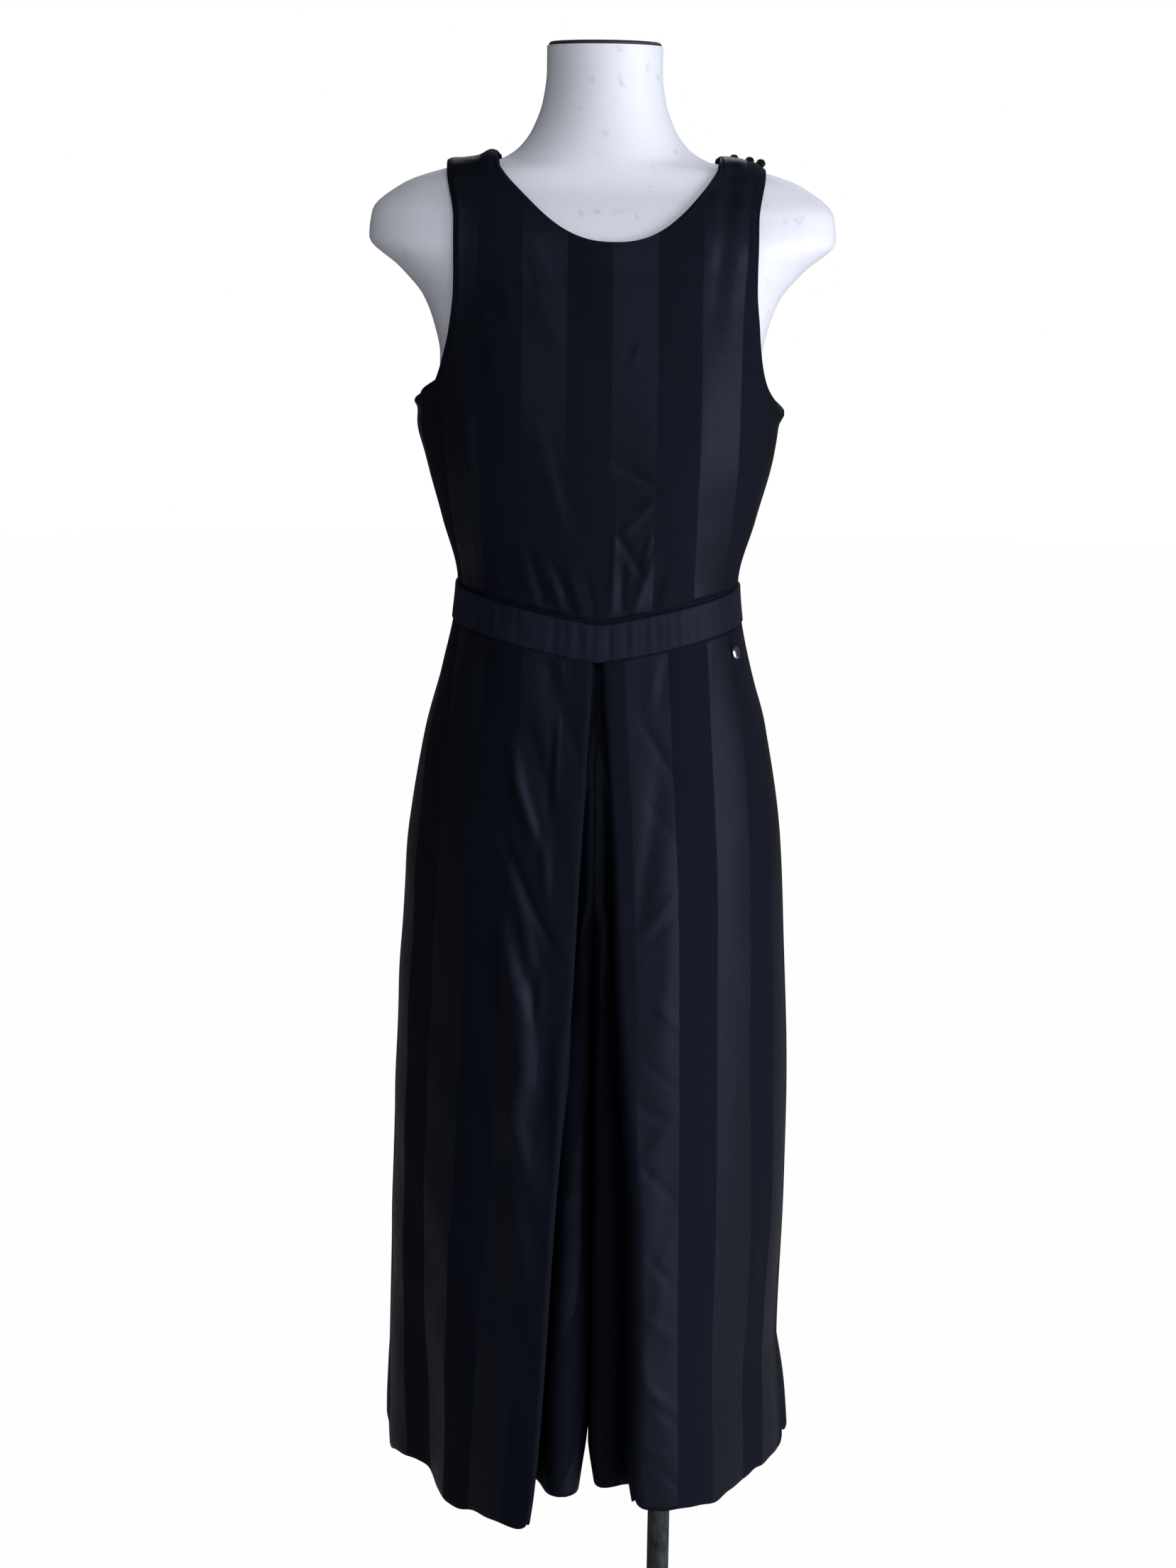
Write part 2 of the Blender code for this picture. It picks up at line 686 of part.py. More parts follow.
def back_section(leg, height):
    """Back panel's section: its face, and the rest round to the seat seam or the inseam."""
    _, sizes = LEGS[leg]
    depth = sizes.at("back", height)
    end_y = rise(height, BACK_RISE_START, depth)
    run = depth - end_y
    inner = run_place(run, height)
    turn = min(BACK_TURN, run)
    outline = oval_run(
        sizes.at("half_width", height), depth, sizes.at("back_round", height), inner + turn
    )
    line = list(outline)
    last_y = outline[-1][1]
    end_y = min(end_y, last_y)
    for step in range(1, BACK_TURN_STEPS + 1):
        angle = math.pi / 2 * step / BACK_TURN_STEPS
        line.append((inner + turn * (1 - math.sin(angle)), last_y - turn * (1 - math.cos(angle))))
    if line[-1][1] - end_y > NEAR:
        line.append((inner, end_y))
    turn_start = next(i for i, point in enumerate(line) if point[0] < inner + BACK_TURN + NEAR)
    return line[:turn_start + 1], line[turn_start:], run


def fold_depth(panel, leg, across, height):
    """Outward depth of the hanging folds at a place on a panel."""
    total = 0.0
    for row in FOLDS:
        fold = dict(zip(FOLD_COLUMNS, row))
        if (fold["panel"], fold["leg"]) != (panel, leg):
            continue
        strength = ease_in_out((fold["top"] - height) / (fold["top"] - HEM))
        total += fold["depth"] * strength * math.exp(-((across - fold["across"]) / fold["width"]) ** 2)
    return total


def with_folds(section, panel, leg, height):
    """Moves a section's points outward by the folds."""
    heading = np.gradient(section, axis=0)
    heading /= np.linalg.norm(heading, axis=1, keepdims=True)
    sign = 1 if panel == "front" else -1
    outward = np.column_stack((-heading[:, 1], heading[:, 0])) * sign
    places = np.linspace(0.0, 1.0, len(section))
    depths = np.array([fold_depth(panel, leg, place, height) for place in places])
    fade = np.clip(np.minimum(places, 1 - places) / FOLD_FADE, 0.0, 1.0)
    return section + outward * (depths * fade)[:, None]


def trouser_line(face, leg, height):
    """Evenly spaced points of a panel's section, and how far its seat seam has run in."""
    if face == "front":
        outside, behind, under, run = front_section(leg, height)
        behind = resample(behind, RETURN_COLUMNS)[1:]
        under = resample(under, INNER_COLUMNS[face] - RETURN_COLUMNS)[1:]
        inside = np.vstack((behind, under))
    else:
        outside, inner, run = back_section(leg, height)
        inside = resample(inner, INNER_COLUMNS[face])[1:]
    line = with_folds(resample(outside, FACE_COLUMNS[face]), face, leg, height)
    return np.vstack((line, inside)), run


def trouser_heights(face, place, share):
    """Row heights of a trouser column: hem to crotch, then crotch to the waist seam."""
    hem = HEM + HEM_WAVE * math.sin(place * 2 * math.pi * HEM_WAVES)
    top = waist_line(face, "foot", share) - SEAM
    heights = [hem + (CROTCH - hem) * step / LEG_ROWS for step in range(LEG_ROWS)]
    for step in range(HIP_ROWS + 1):
        heights.append(CROTCH + (top - CROTCH) * (step / HIP_ROWS) ** HIP_CROWD)
    return heights


def trouser_panel(face, leg):
    side, _ = LEGS[leg]
    columns = FACE_COLUMNS[face] + INNER_COLUMNS[face] + 1
    waist, _ = trouser_line(face, leg, WAIST_FOOT_SIDE)
    shares = waist[:, 0] / waist[0, 0]
    rows = len(trouser_heights(face, 0.0, 1.0))
    middle = np.zeros((rows, columns, 3))
    open_end = np.zeros(rows, dtype=bool)
    for column in range(columns):
        place = min(1.0, column / FACE_COLUMNS[face])
        for row, height in enumerate(trouser_heights(face, place, shares[column])):
            line, run = trouser_line(face, leg, height)
            open_end[row] = run < SHORT_RUN
            middle[row, column] = (side * line[column, 0], line[column, 1], height)
    toward = -1 if face == "front" else 1
    middle[:, 0, 1] = toward * SEAM / 2
    below = middle[:, -1, 2] <= CROTCH + NEAR
    middle[below, -1, 1] = CROTCH_Y + toward * SEAM / 2
    normals = grid_normals(middle) * side * toward
    flatten(normals, (slice(None), 0), 1)
    flatten(normals, (np.flatnonzero(below), -1), 1)
    flatten(normals, (np.flatnonzero(open_end), -1), 0)
    flatten(normals, (rows - 1, slice(None)), 2)
    flatten(normals, (0, slice(None)), 2)
    return middle, normals


def keep_to_side(bm, side):
    """Keeps a leg's cloth on its own side of the body's middle plane."""
    for vert in bm.verts:
        vert.co.x = side * max(side * vert.co.x, SEAM / 2)


# ---- dress form, stand and small pieces -----------------------------------------------------------

def form_levels():
    """Ring heights: wide apart under the clothes, close on the shoulders and neck."""
    hidden = [FORM_FOOT, 0.876, 0.893, 0.925, 0.970, 1.020, 1.075, 1.135, 1.200, 1.265]
    arms = [1.315 + 0.0245 * step for step in range(5)]
    caps = [1.4375 + 0.0105 * step for step in range(6)]
    shoulders = [1.4965 + 0.0035 * step for step in range(9)]
    neck = [1.532, 1.547, 1.571, 1.596, NECK_TOP]
    return hidden + arms + caps + shoulders + neck


def form_ring(height):
    ring = []
    power = form_size("roundness", height)
    for step in range(FORM_SEGMENTS):
        turn = 2 * math.pi * step / FORM_SEGMENTS
        across = math.copysign(abs(math.cos(turn)) ** (2 / power), math.cos(turn))
        depth = math.copysign(abs(math.sin(turn)) ** (2 / power), math.sin(turn))
        face = "back" if depth > 0 else "front"
        ring.append((across * form_size("half_width", height), depth * form_size(face, height), height))
    return ring


def form_body():
    """The torso: a disc extruded up through every ring, closed at its foot and neck."""
    bm = bmesh.new()
    bmesh.ops.create_circle(bm, cap_ends=True, segments=FORM_SEGMENTS, radius=1.0)
    place = bm.verts.layers.int.new("place")
    for number, vert in enumerate(bm.verts):
        vert[place] = number
    levels = form_levels()
    cap = bm.faces[:][0]
    for height in levels:
        if height != levels[0]:
            cap = grow(bm, cap)
        ring = form_ring(height)
        for vert in cap.verts:
            vert.co = ring[vert[place]]
    return bm


def bored(plain, radius, foot, top, surface, parent):
    """Cuts an upright round bore into an object with a cutter that stays out of the build."""
    bm = bmesh.new()
    bmesh.ops.create_cone(
        bm,
        cap_ends=True,
        segments=ROUND_SEGMENTS,
        radius1=radius,
        radius2=radius,
        depth=top - foot,
    )
    bmesh.ops.translate(bm, verts=bm.verts, vec=(0.0, 0.0, (top + foot) / 2))
    cutter = finish_object(plain.name + "_cutter", bm, surface, parent)
    cutter.hide_render = True
    cutter.display_type = "WIRE"
    cut = plain.modifiers.new("bore", "BOOLEAN")
    cut.operation = "DIFFERENCE"
    cut.object = cutter


def base_profile():
    """Round plate with a softened edge, a low slope and a collar for the pole."""
    return (
        (BASE_RADIUS - SOFT_EDGE, 0.0),
        (BASE_RADIUS, SOFT_EDGE),
        (BASE_RADIUS, BASE_EDGE - SOFT_EDGE),
        (BASE_RADIUS - SOFT_EDGE, BASE_EDGE),
        (COLLAR_RADIUS + COLLAR_FILLET, BASE_HEIGHT),
        (COLLAR_RADIUS, BASE_HEIGHT + COLLAR_FILLET),
        (COLLAR_RADIUS, COLLAR_HEIGHT - SOFT_EDGE),
        (COLLAR_RADIUS - SOFT_EDGE, COLLAR_HEIGHT),
    )


def ball_profile():
    """A small shank button: a round ball on a short flat foot."""
    profile = []
    sweep = BUTTON_CROWN_TURN - BUTTON_FOOT_TURN
    for step in range(BUTTON_STEPS + 1):
        turn = BUTTON_FOOT_TURN + sweep * step / BUTTON_STEPS
        profile.append((BUTTON_RADIUS * math.cos(turn), BUTTON_RADIUS * math.sin(turn)))
    return profile


def stud_profile():
    """A plain stud: a thin rim under a low dome."""
    rim = STUD_HEIGHT * STUD_RIM
    profile = [(STUD_RADIUS, 0.0), (STUD_RADIUS, rim)]
    for step in range(1, STUD_STEPS):
        turn = math.pi / 2 * step / STUD_STEPS
        profile.append((STUD_RADIUS * math.cos(turn), rim + (STUD_HEIGHT - rim) * math.sin(turn)))
    return profile


def cap_profile():
    return (
        (NECK_CAP_RADIUS, 0.0),
        (NECK_CAP_RADIUS, NECK_CAP_HEIGHT / 2),
        (NECK_CAP_RADIUS - NECK_CAP_HEIGHT / 2, NECK_CAP_HEIGHT),
    )


def build_form(body):
    finish_object("form_torso", form_body(), material("form_white", "form"), body, FORM_SMOOTH)
    rubber = material("neck_black", "neck")
    cap = finish_object("form_neck_cap", turned(cap_profile(), ROUND_SEGMENTS), rubber, body)
    cap.location = (0.0, 0.0, NECK_TOP + SEAM)


def build_stand(root):
    plate = material("base_black_steel", "base")
    base = finish_object("stand_base", turned(base_profile(), BASE_SEGMENTS), plate, root)
    bored(base, POLE_RADIUS + SEAM, BASE_EDGE, COLLAR_HEIGHT + BORE_OVERRUN, plate, root)
    top = FORM_FOOT - SEAM
    pole_profile = ((POLE_RADIUS, BASE_EDGE + SEAM), (POLE_RADIUS, top))
    steel = material("stand_black_steel", "pole")
    finish_object("stand_pole", turned(pole_profile, ROUND_SEGMENTS), steel, root)
    socket_foot = top - SOCKET_HEIGHT
    socket_profile = (
        (SOCKET_RADIUS - SOFT_EDGE / 2, socket_foot),
        (SOCKET_RADIUS, socket_foot + SOFT_EDGE / 2),
        (SOCKET_RADIUS, top),
    )
    grey = material("socket_steel", "socket")
    socket = finish_object("form_socket", turned(socket_profile, ROUND_SEGMENTS), grey, root)
    bored(
        socket, POLE_RADIUS + SEAM, socket_foot - BORE_OVERRUN, top + BORE_OVERRUN, grey, root
    )


def build_bodice(body):
    for face in ("front", "back"):
        cloth = material("bodice_cloth_" + face, "cloth")
        bm = wall(*bodice_panel(face), CLOTH)
        finish_object(face + "_bodice", bm, cloth, body, CLOTH_SMOOTH)


def build_waist(body):
    for face in ("front", "back"):
        band = material("waistband_cloth_" + face, "band")
        bm = wall(*waistband_panel(face), BAND_CLOTH)
        finish_object("waistband_" + face, bm, band, body, CLOTH_SMOOTH)
        strip = material("piping_cloth_" + face, "piping")
        bm = wall(*piping_panel(face), PIPING_CLOTH)
        finish_object("waist_piping_" + face, bm, strip, body, CLOTH_SMOOTH)


def build_trousers(body):
    for face in ("front", "back"):
        for leg, (side, _) in LEGS.items():
            name = "trouser_" + face + "_" + leg
            cloth = material("trouser_cloth_" + face + "_" + leg, "cloth")
            bm = wall(*trouser_panel(face, leg), CLOTH)
            keep_to_side(bm, side)
            finish_object(name, bm, cloth, body, CLOTH_SMOOTH)


def build_buttons(body):
    foot = BUTTON_RADIUS * math.sin(BUTTON_FOOT_TURN)
    lift = CLOTH / 2 + SEAM + BUTTON_LIFT - foot
    for number, across in enumerate(BUTTON_PLACES, 1):
        jet = material("button_jet_%d" % number, "jet")
        name = "shoulder_button_%d" % number
        button = finish_object(name, turned(ball_profile(), BUTTON_SEGMENTS), jet, body)
        button.location = (across, 0.0, ridge_height(across) + lift)


def stud_place():
    """Point and outward direction on the left front panel where the stud sits."""
    bm = wall(*trouser_panel("front", "left"), CLOTH)
    bm.normal_update()
    panel = BVHTree.FromBMesh(bm)
    bm.free()
    straight_back = Vector((0.0, 1.0, 0.0))
    point, outward, _, _ = panel.ray_cast(Vector((STUD_ACROSS, -1.0, STUD_UP)), straight_back)
    return point, outward if outward.y < 0 else -outward


def build_stud(body):
    silver = material("stud_silver", "silver")
    stud = finish_object("hip_stud", turned(stud_profile(), STUD_SEGMENTS), silver, body)
    point, outward = stud_place()
    stud.location = point + outward * STUD_LIFT
    stud.rotation_euler = outward.to_track_quat("Z", "Y").to_euler()


def main():
    clear_scene()
    root = bpy.data.objects.new("pole_axis", None)
    bpy.context.scene.collection.objects.link(root)
    body = bpy.data.objects.new("body_axis", None)
    bpy.context.scene.collection.objects.link(body)
    body.parent = root
    body.location = (-POLE_OFFSET, 0.0, 0.0)
    build_form(body)
    build_stand(root)
    build_bodice(body)
    build_waist(body)
    build_trousers(body)
    build_buttons(body)
    build_stud(body)


main()
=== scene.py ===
# %% [markdown]
# # A sleeveless jumpsuit on a dress form
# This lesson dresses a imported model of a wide-leg jumpsuit. The model gives a stiff, coarse cloth
# wall for each cut piece. Here every cut piece is made again as a fine thin sheet on the same
# form, and then gets what a sewn garment has: stripes, creases, puckers and thread.

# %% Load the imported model
import math

import bmesh
import bpy
import numpy as np
from mathutils import Matrix, Vector


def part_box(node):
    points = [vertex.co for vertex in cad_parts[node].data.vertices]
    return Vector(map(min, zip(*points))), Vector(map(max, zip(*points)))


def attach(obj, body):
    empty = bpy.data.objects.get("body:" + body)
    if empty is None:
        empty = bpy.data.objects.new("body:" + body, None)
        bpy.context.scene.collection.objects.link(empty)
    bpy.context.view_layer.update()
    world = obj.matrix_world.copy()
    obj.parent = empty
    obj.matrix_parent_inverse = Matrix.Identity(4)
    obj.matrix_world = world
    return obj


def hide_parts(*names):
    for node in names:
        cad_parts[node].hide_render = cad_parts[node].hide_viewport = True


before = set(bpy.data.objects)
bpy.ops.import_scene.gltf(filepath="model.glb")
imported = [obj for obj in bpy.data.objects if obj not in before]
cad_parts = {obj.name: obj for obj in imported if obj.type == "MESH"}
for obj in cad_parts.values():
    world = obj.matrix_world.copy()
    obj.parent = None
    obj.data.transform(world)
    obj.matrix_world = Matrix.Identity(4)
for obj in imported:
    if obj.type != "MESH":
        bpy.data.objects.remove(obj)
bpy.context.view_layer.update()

# %% [markdown]
# ## The camera
# The view is a standing person's, from in front at the height of the form's shoulders, tipped
# down by 13 degrees and very slightly rolled. The camera comes first.

# %% Camera
CAMERA_PLACE = (-0.0807, -2.40, 1.50)
CAMERA_TIP = math.radians(13.0)
CAMERA_ROLL = math.radians(0.75)
CAMERA_LENS = 59.9
CAMERA_SENSOR = 36.0

camera_data = bpy.data.cameras.new("camera")
camera_data.lens = CAMERA_LENS
camera_data.sensor_width = CAMERA_SENSOR
camera = bpy.data.objects.new("camera", camera_data)
bpy.context.scene.collection.objects.link(camera)
tip = Matrix.Rotation(math.pi / 2 - CAMERA_TIP, 4, "X")
camera.matrix_world = Matrix.Translation(CAMERA_PLACE) @ tip @ Matrix.Rotation(CAMERA_ROLL, 4, "Z")
bpy.context.scene.camera = camera
print("camera at", CAMERA_PLACE)

# %% [markdown]
# ## Nodes without repetition
# A procedural finish is a small tree of nodes. Adding each node, setting its values and wiring it
# takes three or four lines, so one helper does all of it: an input that is given a socket is
# wired, and one that is given a value is set.

# %% Node helpers
def node_adder(tree):
    """Gives a function that adds a node to a tree, and wires or sets its inputs."""

    def make(kind, inputs=(), **settings):
        made = tree.nodes.new(kind)
        for name, value in settings.items():
            setattr(made, name, value)
        for socket, value in dict(inputs).items():
            if isinstance(value, bpy.types.NodeSocket):
                tree.links.new(value, made.inputs[socket])
            else:
                made.inputs[socket].default_value = value
        return made

    return make


def new_finish(name):
    """A new material, its shader, its node adder and its links."""
    surface = bpy.data.materials.new(name)
    surface.use_nodes = True
    tree = surface.node_tree
    return surface, tree.nodes["Principled BSDF"], node_adder(tree), tree.links


print("node helpers: node_adder and new_finish")

# %% [markdown]
# ## The floor
# Black cloth needs a pale, even surround, or its edges are lost. The floor is one wide disc. It
# is plain white to the camera, a duller white as a lamp from below, and duller still where the
# satin would mirror it. A Light Path node tells these three apart.

# %% Floor
FLOOR_RADIUS = 9.0
FLOOR_WHITE = 0.99
FLOOR_TONES = {"plain": 0.72, "mirrored": 0.58}
FLOOR_ROUGHNESS, FLOOR_GLOSS = 0.9, 0.1

bm = bmesh.new()
bmesh.ops.create_circle(bm, cap_ends=True, segments=96, radius=FLOOR_RADIUS)
floor_mesh = bpy.data.meshes.new("floor")
bm.to_mesh(floor_mesh)
bm.free()
floor = bpy.data.objects.new("floor", floor_mesh)
bpy.context.scene.collection.objects.link(floor)
floor_paint, shader, make, links = new_finish("floor_white")
shader.inputs["Roughness"].default_value = FLOOR_ROUGHNESS
shader.inputs["Specular IOR Level"].default_value = FLOOR_GLOSS
path = make("ShaderNodeLightPath")
tone = make(
    "ShaderNodeMapRange",
    {
        "Value": path.outputs["Is Glossy Ray"],
        "To Min": FLOOR_TONES["plain"],
        "To Max": FLOOR_TONES["mirrored"],
    },
)
links.new(tone.outputs[0], shader.inputs["Base Color"])
glow = make("ShaderNodeEmission")
share = make("ShaderNodeMath", {0: path.outputs["Is Camera Ray"], 1: FLOOR_WHITE}, operation="MULTIPLY")
both = make("ShaderNodeMixShader", {0: share.outputs[0], 1: shader.outputs[0], 2: glow.outputs[0]})
links.new(both.outputs[0], floor_paint.node_tree.nodes["Material Output"].inputs["Surface"])
floor_mesh.materials.append(floor_paint)
print("floor radius:", FLOOR_RADIUS)

# %% [markdown]
# ## Lamps
# Black cloth shows its form only through gloss, so where the lamps stand matters more than how
# strong they are. One large soft lamp stands at the wearer's left, as a window would. Weaker ones
# above, opposite and behind keep the other sides from going flat.

# %% Lamps
DAYLIGHT = (0.92, 0.95, 1.06)
LAMPS = (
    # name, place, aim, size, watts
    ("window", (2.6, -1.5, 1.1), (-0.07, 0.0, 0.75), (2.2, 2.2), 76.0),
    ("room", (0.5, -2.9, 3.0), (-0.07, 0.0, 1.05), (2.4, 2.0), 38.0),
    ("far_side", (-2.2, -2.3, 2.4), (-0.07, 0.0, 1.3), (1.2, 2.0), 7.0),
    ("behind", (0.4, 2.7, 3.2), (-0.07, 0.0, 1.1), (2.4, 1.6), 28.0),
)

for name, place, aim, size, watts in LAMPS:
    lamp_data = bpy.data.lights.new(name, "AREA")
    lamp_data.shape = "RECTANGLE"
    lamp_data.size, lamp_data.size_y = size
    lamp_data.energy = watts
    lamp_data.color = DAYLIGHT
    lamp = bpy.data.objects.new(name, lamp_data)
    bpy.context.scene.collection.objects.link(lamp)
    lamp.location = place
    lamp.rotation_euler = (Vector(aim) - Vector(place)).to_track_quat("-Z", "Y").to_euler()
print("lamps:", len(LAMPS))

# %% [markdown]
# ## The world
# A world lights everything from all sides, which would wash out the cloth's gloss. So it is
# bright white only to the camera, as a backdrop, and very dim as a lamp.

# %% World
WORLD_LIGHT = 0.06
WORLD_TINT = (0.95, 0.97, 1.0, 1.0)
BACKDROP_WHITE = (1.0, 1.0, 1.0, 1.0)

world = bpy.data.worlds.new("pale_room")
bpy.context.scene.world = world
world.use_nodes = True
sky = world.node_tree
make = node_adder(sky)
felt = sky.nodes["Background"]
felt.inputs["Color"].default_value = WORLD_TINT
felt.inputs["Strength"].default_value = WORLD_LIGHT
seen = make("ShaderNodeBackground", {"Color": BACKDROP_WHITE, "Strength": 1.0})
path = make("ShaderNodeLightPath")
choice = make(
    "ShaderNodeMixShader", {0: path.outputs["Is Camera Ray"], 1: felt.outputs[0], 2: seen.outputs[0]}
)
sky.links.new(choice.outputs[0], sky.nodes["World Output"].inputs["Surface"])
bpy.context.scene.view_settings.view_transform = "Standard"
print("world light:", WORLD_LIGHT)

# %% [markdown]
# ## Sizes in tables
# A garment's form changes slowly with height. A short table of heights and sizes, read through a
# smooth curve that never overshoots, holds such a form far better than hundreds of points.

# %% Table of sizes
class Table:
    """Sizes in rows; the first column is the key, and at() reads another one between rows."""

    def __init__(self, columns, rows):
        self.keys = np.array([row[0] for row in rows])
        self.values = {name: np.array([row[i] for row in rows]) for i, name in enumerate(columns)}

    def at(self, column, key):
        """Values on a smooth curve through the rows, for one key or a whole array of keys."""
        values = self.values[column]
        step = np.diff(self.keys)
        slope = np.diff(values) / step
        tangent = np.zeros(len(values))
        for i in range(1, len(values) - 1):
            if slope[i - 1] * slope[i] > 0:
                tangent[i] = 2 * slope[i - 1] * slope[i] / (slope[i - 1] + slope[i])
        tangent[0] = slope[0]
        tangent[-1] = slope[-1]
        key = np.asarray(key, dtype=float)
        row = np.clip(np.searchsorted(self.keys, key) - 1, 0, len(step) - 1)
        t = np.clip((key - self.keys[row]) / step[row], 0.0, 1.0)
        start = (1 + 2 * t) * (1 - t) ** 2 * values[row]
        start = start + t * (1 - t) ** 2 * step[row] * tangent[row]
        end = t * t * (3 - 2 * t) * values[row + 1]
        end = end + t * t * (t - 1) * step[row] * tangent[row + 1]
        return start + end


print("a half-way reading:", float(Table(("key", "size"), ((0.0, 1.0), (1.0, 3.0))).at("size", 0.5)))

# %% [markdown]
# ## The dress form's sizes
# The dress form is a body without limbs. At each height it is a rounded rectangle, as wide, as
# deep to the front and as deep to the back as its row says. It widens at the shoulder caps and
# narrows to the neck, so the rows crowd there.

# %% Form table
FORM = Table(
    ("height", "half_width", "front", "back", "roundness"),
    (
        (0.870, 0.142, 0.080, 0.090, 2.3),
        (0.876, 0.154, 0.092, 0.104, 2.3),
        (0.893, 0.160, 0.099, 0.111, 2.3),
        (0.925, 0.162, 0.102, 0.114, 2.3),
        (0.960, 0.158, 0.102, 0.112, 2.3),
        (1.010, 0.146, 0.099, 0.099, 2.3),
        (1.060, 0.131, 0.094, 0.087, 2.3),
        (1.100, 0.121, 0.090, 0.080, 2.3),
        (1.140, 0.117, 0.088, 0.078, 2.3),
        (1.200, 0.129, 0.095, 0.084, 2.4),
        (1.260, 0.142, 0.107, 0.090, 2.5),
        (1.300, 0.147, 0.108, 0.094, 2.5),
        (1.347, 0.146, 0.104, 0.097, 2.4),
        (1.372, 0.151, 0.100, 0.098, 2.3),
        (1.398, 0.161, 0.095, 0.098, 2.2),
        (1.423, 0.182, 0.089, 0.096, 2.2),
        (1.450, 0.210, 0.082, 0.090, 2.2),
        (1.473, 0.207, 0.070, 0.080, 2.2),
        (1.497, 0.179, 0.055, 0.062, 2.1),
        (1.511, 0.138, 0.051, 0.055, 2.0),
        (1.518, 0.094, 0.050, 0.053, 2.0),
        (1.531, 0.074, 0.050, 0.051, 2.0),
        (1.547, 0.063, 0.050, 0.050, 2.0),
        (1.571, 0.0545, 0.050, 0.049, 2.0),
        (1.596, 0.0515, 0.050, 0.049, 2.0),
        (1.617, 0.0515, 0.050, 0.049, 2.0),
    ),
)
print("the form's bust half width:", round(float(FORM.at("half_width", 1.26)), 4))

# %% [markdown]
# ## Ease, armholes and drift
# A garment is cut wider than the body, and the difference is called ease. The bodice is the
# form's surface moved out by it. The armhole table says how far the cloth reaches sideways. The
# upper bodice also hangs a little towards the wearer's left, its neckline more than its armholes.

# %% Ease, armhole and drift tables
STRAP_REST = 0.0018
EASE = Table(
    ("height", "side", "front", "back"),
    (
        (1.060, 0.0120, 0.0120, 0.0120),
        (1.140, 0.0120, 0.0130, 0.0110),
        (1.200, 0.0145, 0.0180, 0.0140),
        (1.260, 0.0165, 0.0190, 0.0140),
        (1.300, 0.0155, 0.0180, 0.0110),
        (1.347, 0.0200, 0.0150, 0.0080),
        (1.380, 0.0165, 0.0110, 0.0060),
        (1.410, 0.0110, 0.0070, 0.0045),
        (1.430, 0.0060, 0.0045, 0.0030),
        (1.450, 0.0028, 0.0042, 0.0036),
        (1.480, 0.0022, 0.0036, 0.0038),
        (1.505, STRAP_REST, 0.0036, 0.0026),
        (1.520, STRAP_REST, 0.0030, 0.0022),
        (1.540, STRAP_REST, STRAP_REST, STRAP_REST),
    ),
)

ARMHOLE = Table(
    ("height", "reach"),
    (
        (1.3000, 0.1625),
        (1.3026, 0.1614),
        (1.3105, 0.1560),
        (1.3236, 0.1478),
        (1.3420, 0.1415),
        (1.374, 0.1350),
        (1.412, 0.1315),
        (1.467, 0.1320),
        (1.513, 0.140),
        (1.540, 0.140),
    ),
)

DRIFT = Table(
    ("across", "drift"),
    (
        (-0.140, 0.0012),
        (-0.096, 0.0004),
        (-0.070, 0.0040),
        (0.000, 0.0100),
        (0.060, 0.0108),
        (0.096, 0.0084),
        (0.140, 0.0040),
    ),
)
print("ease at the waist:", float(EASE.at("front", 1.06)), "at the bust:", float(EASE.at("front", 1.26)))

# %% [markdown]
# ## The surface that the bodice lies on
# At every height the body is a rounded rectangle: a superellipse whose power is the roundness
# column. The bodice is that shape grown by its ease. These helpers take whole arrays, so a panel
# of twenty thousand points is worked out in one go.

# %% Bodice surface
SHOULDER_LIFT_START = 1.42
SHOULDER_LIFT_RUN = 0.05
RIDGE_SEARCH = (1.46, 1.60)
RIDGE_SEARCH_STEPS = 40
EASE_COLUMNS = {"half_width": "side", "front": "front", "back": "back"}


def ease_in_out(t):
    """A smooth step: 0 below 0, 1 above 1, and level at both ends."""
    t = np.clip(t, 0.0, 1.0)
    return t * t * (3 - 2 * t)


def shell_size(column, height):
    """Middle of the bodice cloth: the form's size plus the ease, shifted up on the shoulders."""
    ease = EASE.at(EASE_COLUMNS[column], height)
    lift = STRAP_REST * ease_in_out((height - SHOULDER_LIFT_START) / SHOULDER_LIFT_RUN)
    return FORM.at(column, height - lift) + ease


def shell_depth(face, across, height):
    """Distance of the bodice cloth from the body's side plane, at a place across the body."""
    half = shell_size("half_width", height)
    power = FORM.at("roundness", height)
    inside = np.maximum(0.0, 1 - np.minimum(np.abs(across) / half, 1.0) ** power)
    return shell_size(face, height) * inside ** (1 / power)


def ridge_height(across):
    """Height of the shoulder's top at a place across the body."""
    across = np.abs(np.asarray(across, dtype=float))
    low = np.full(across.shape, RIDGE_SEARCH[0])
    high = np.full(across.shape, RIDGE_SEARCH[1])
    for _ in range(RIDGE_SEARCH_STEPS):
        middle = (low + high) / 2
        wide = shell_size("half_width", middle) > across
        low = np.where(wide, middle, low)
        high = np.where(wide, high, middle)
    return low


STRAP_MIDDLE = 0.118
print("shoulder height over the strap:", round(float(ridge_height(STRAP_MIDDLE)), 4))

# %% [markdown]
# ## Creases
# A crease is a soft trough or ridge along a short line. Each row of a crease table gives the two
# ends of that line on the cloth, how wide it is, and how deep: minus is a trough. A bell-shaped
# profile fades it sideways and towards its ends, and every row has its own sizes, because cloth
# never folds twice in the same way.

# %% Crease helper
CREASE_TIP, CREASE_BODY, CREASE_FADE = 0.12, 0.76, 0.7
CREASE_END_ROUND = 1.6


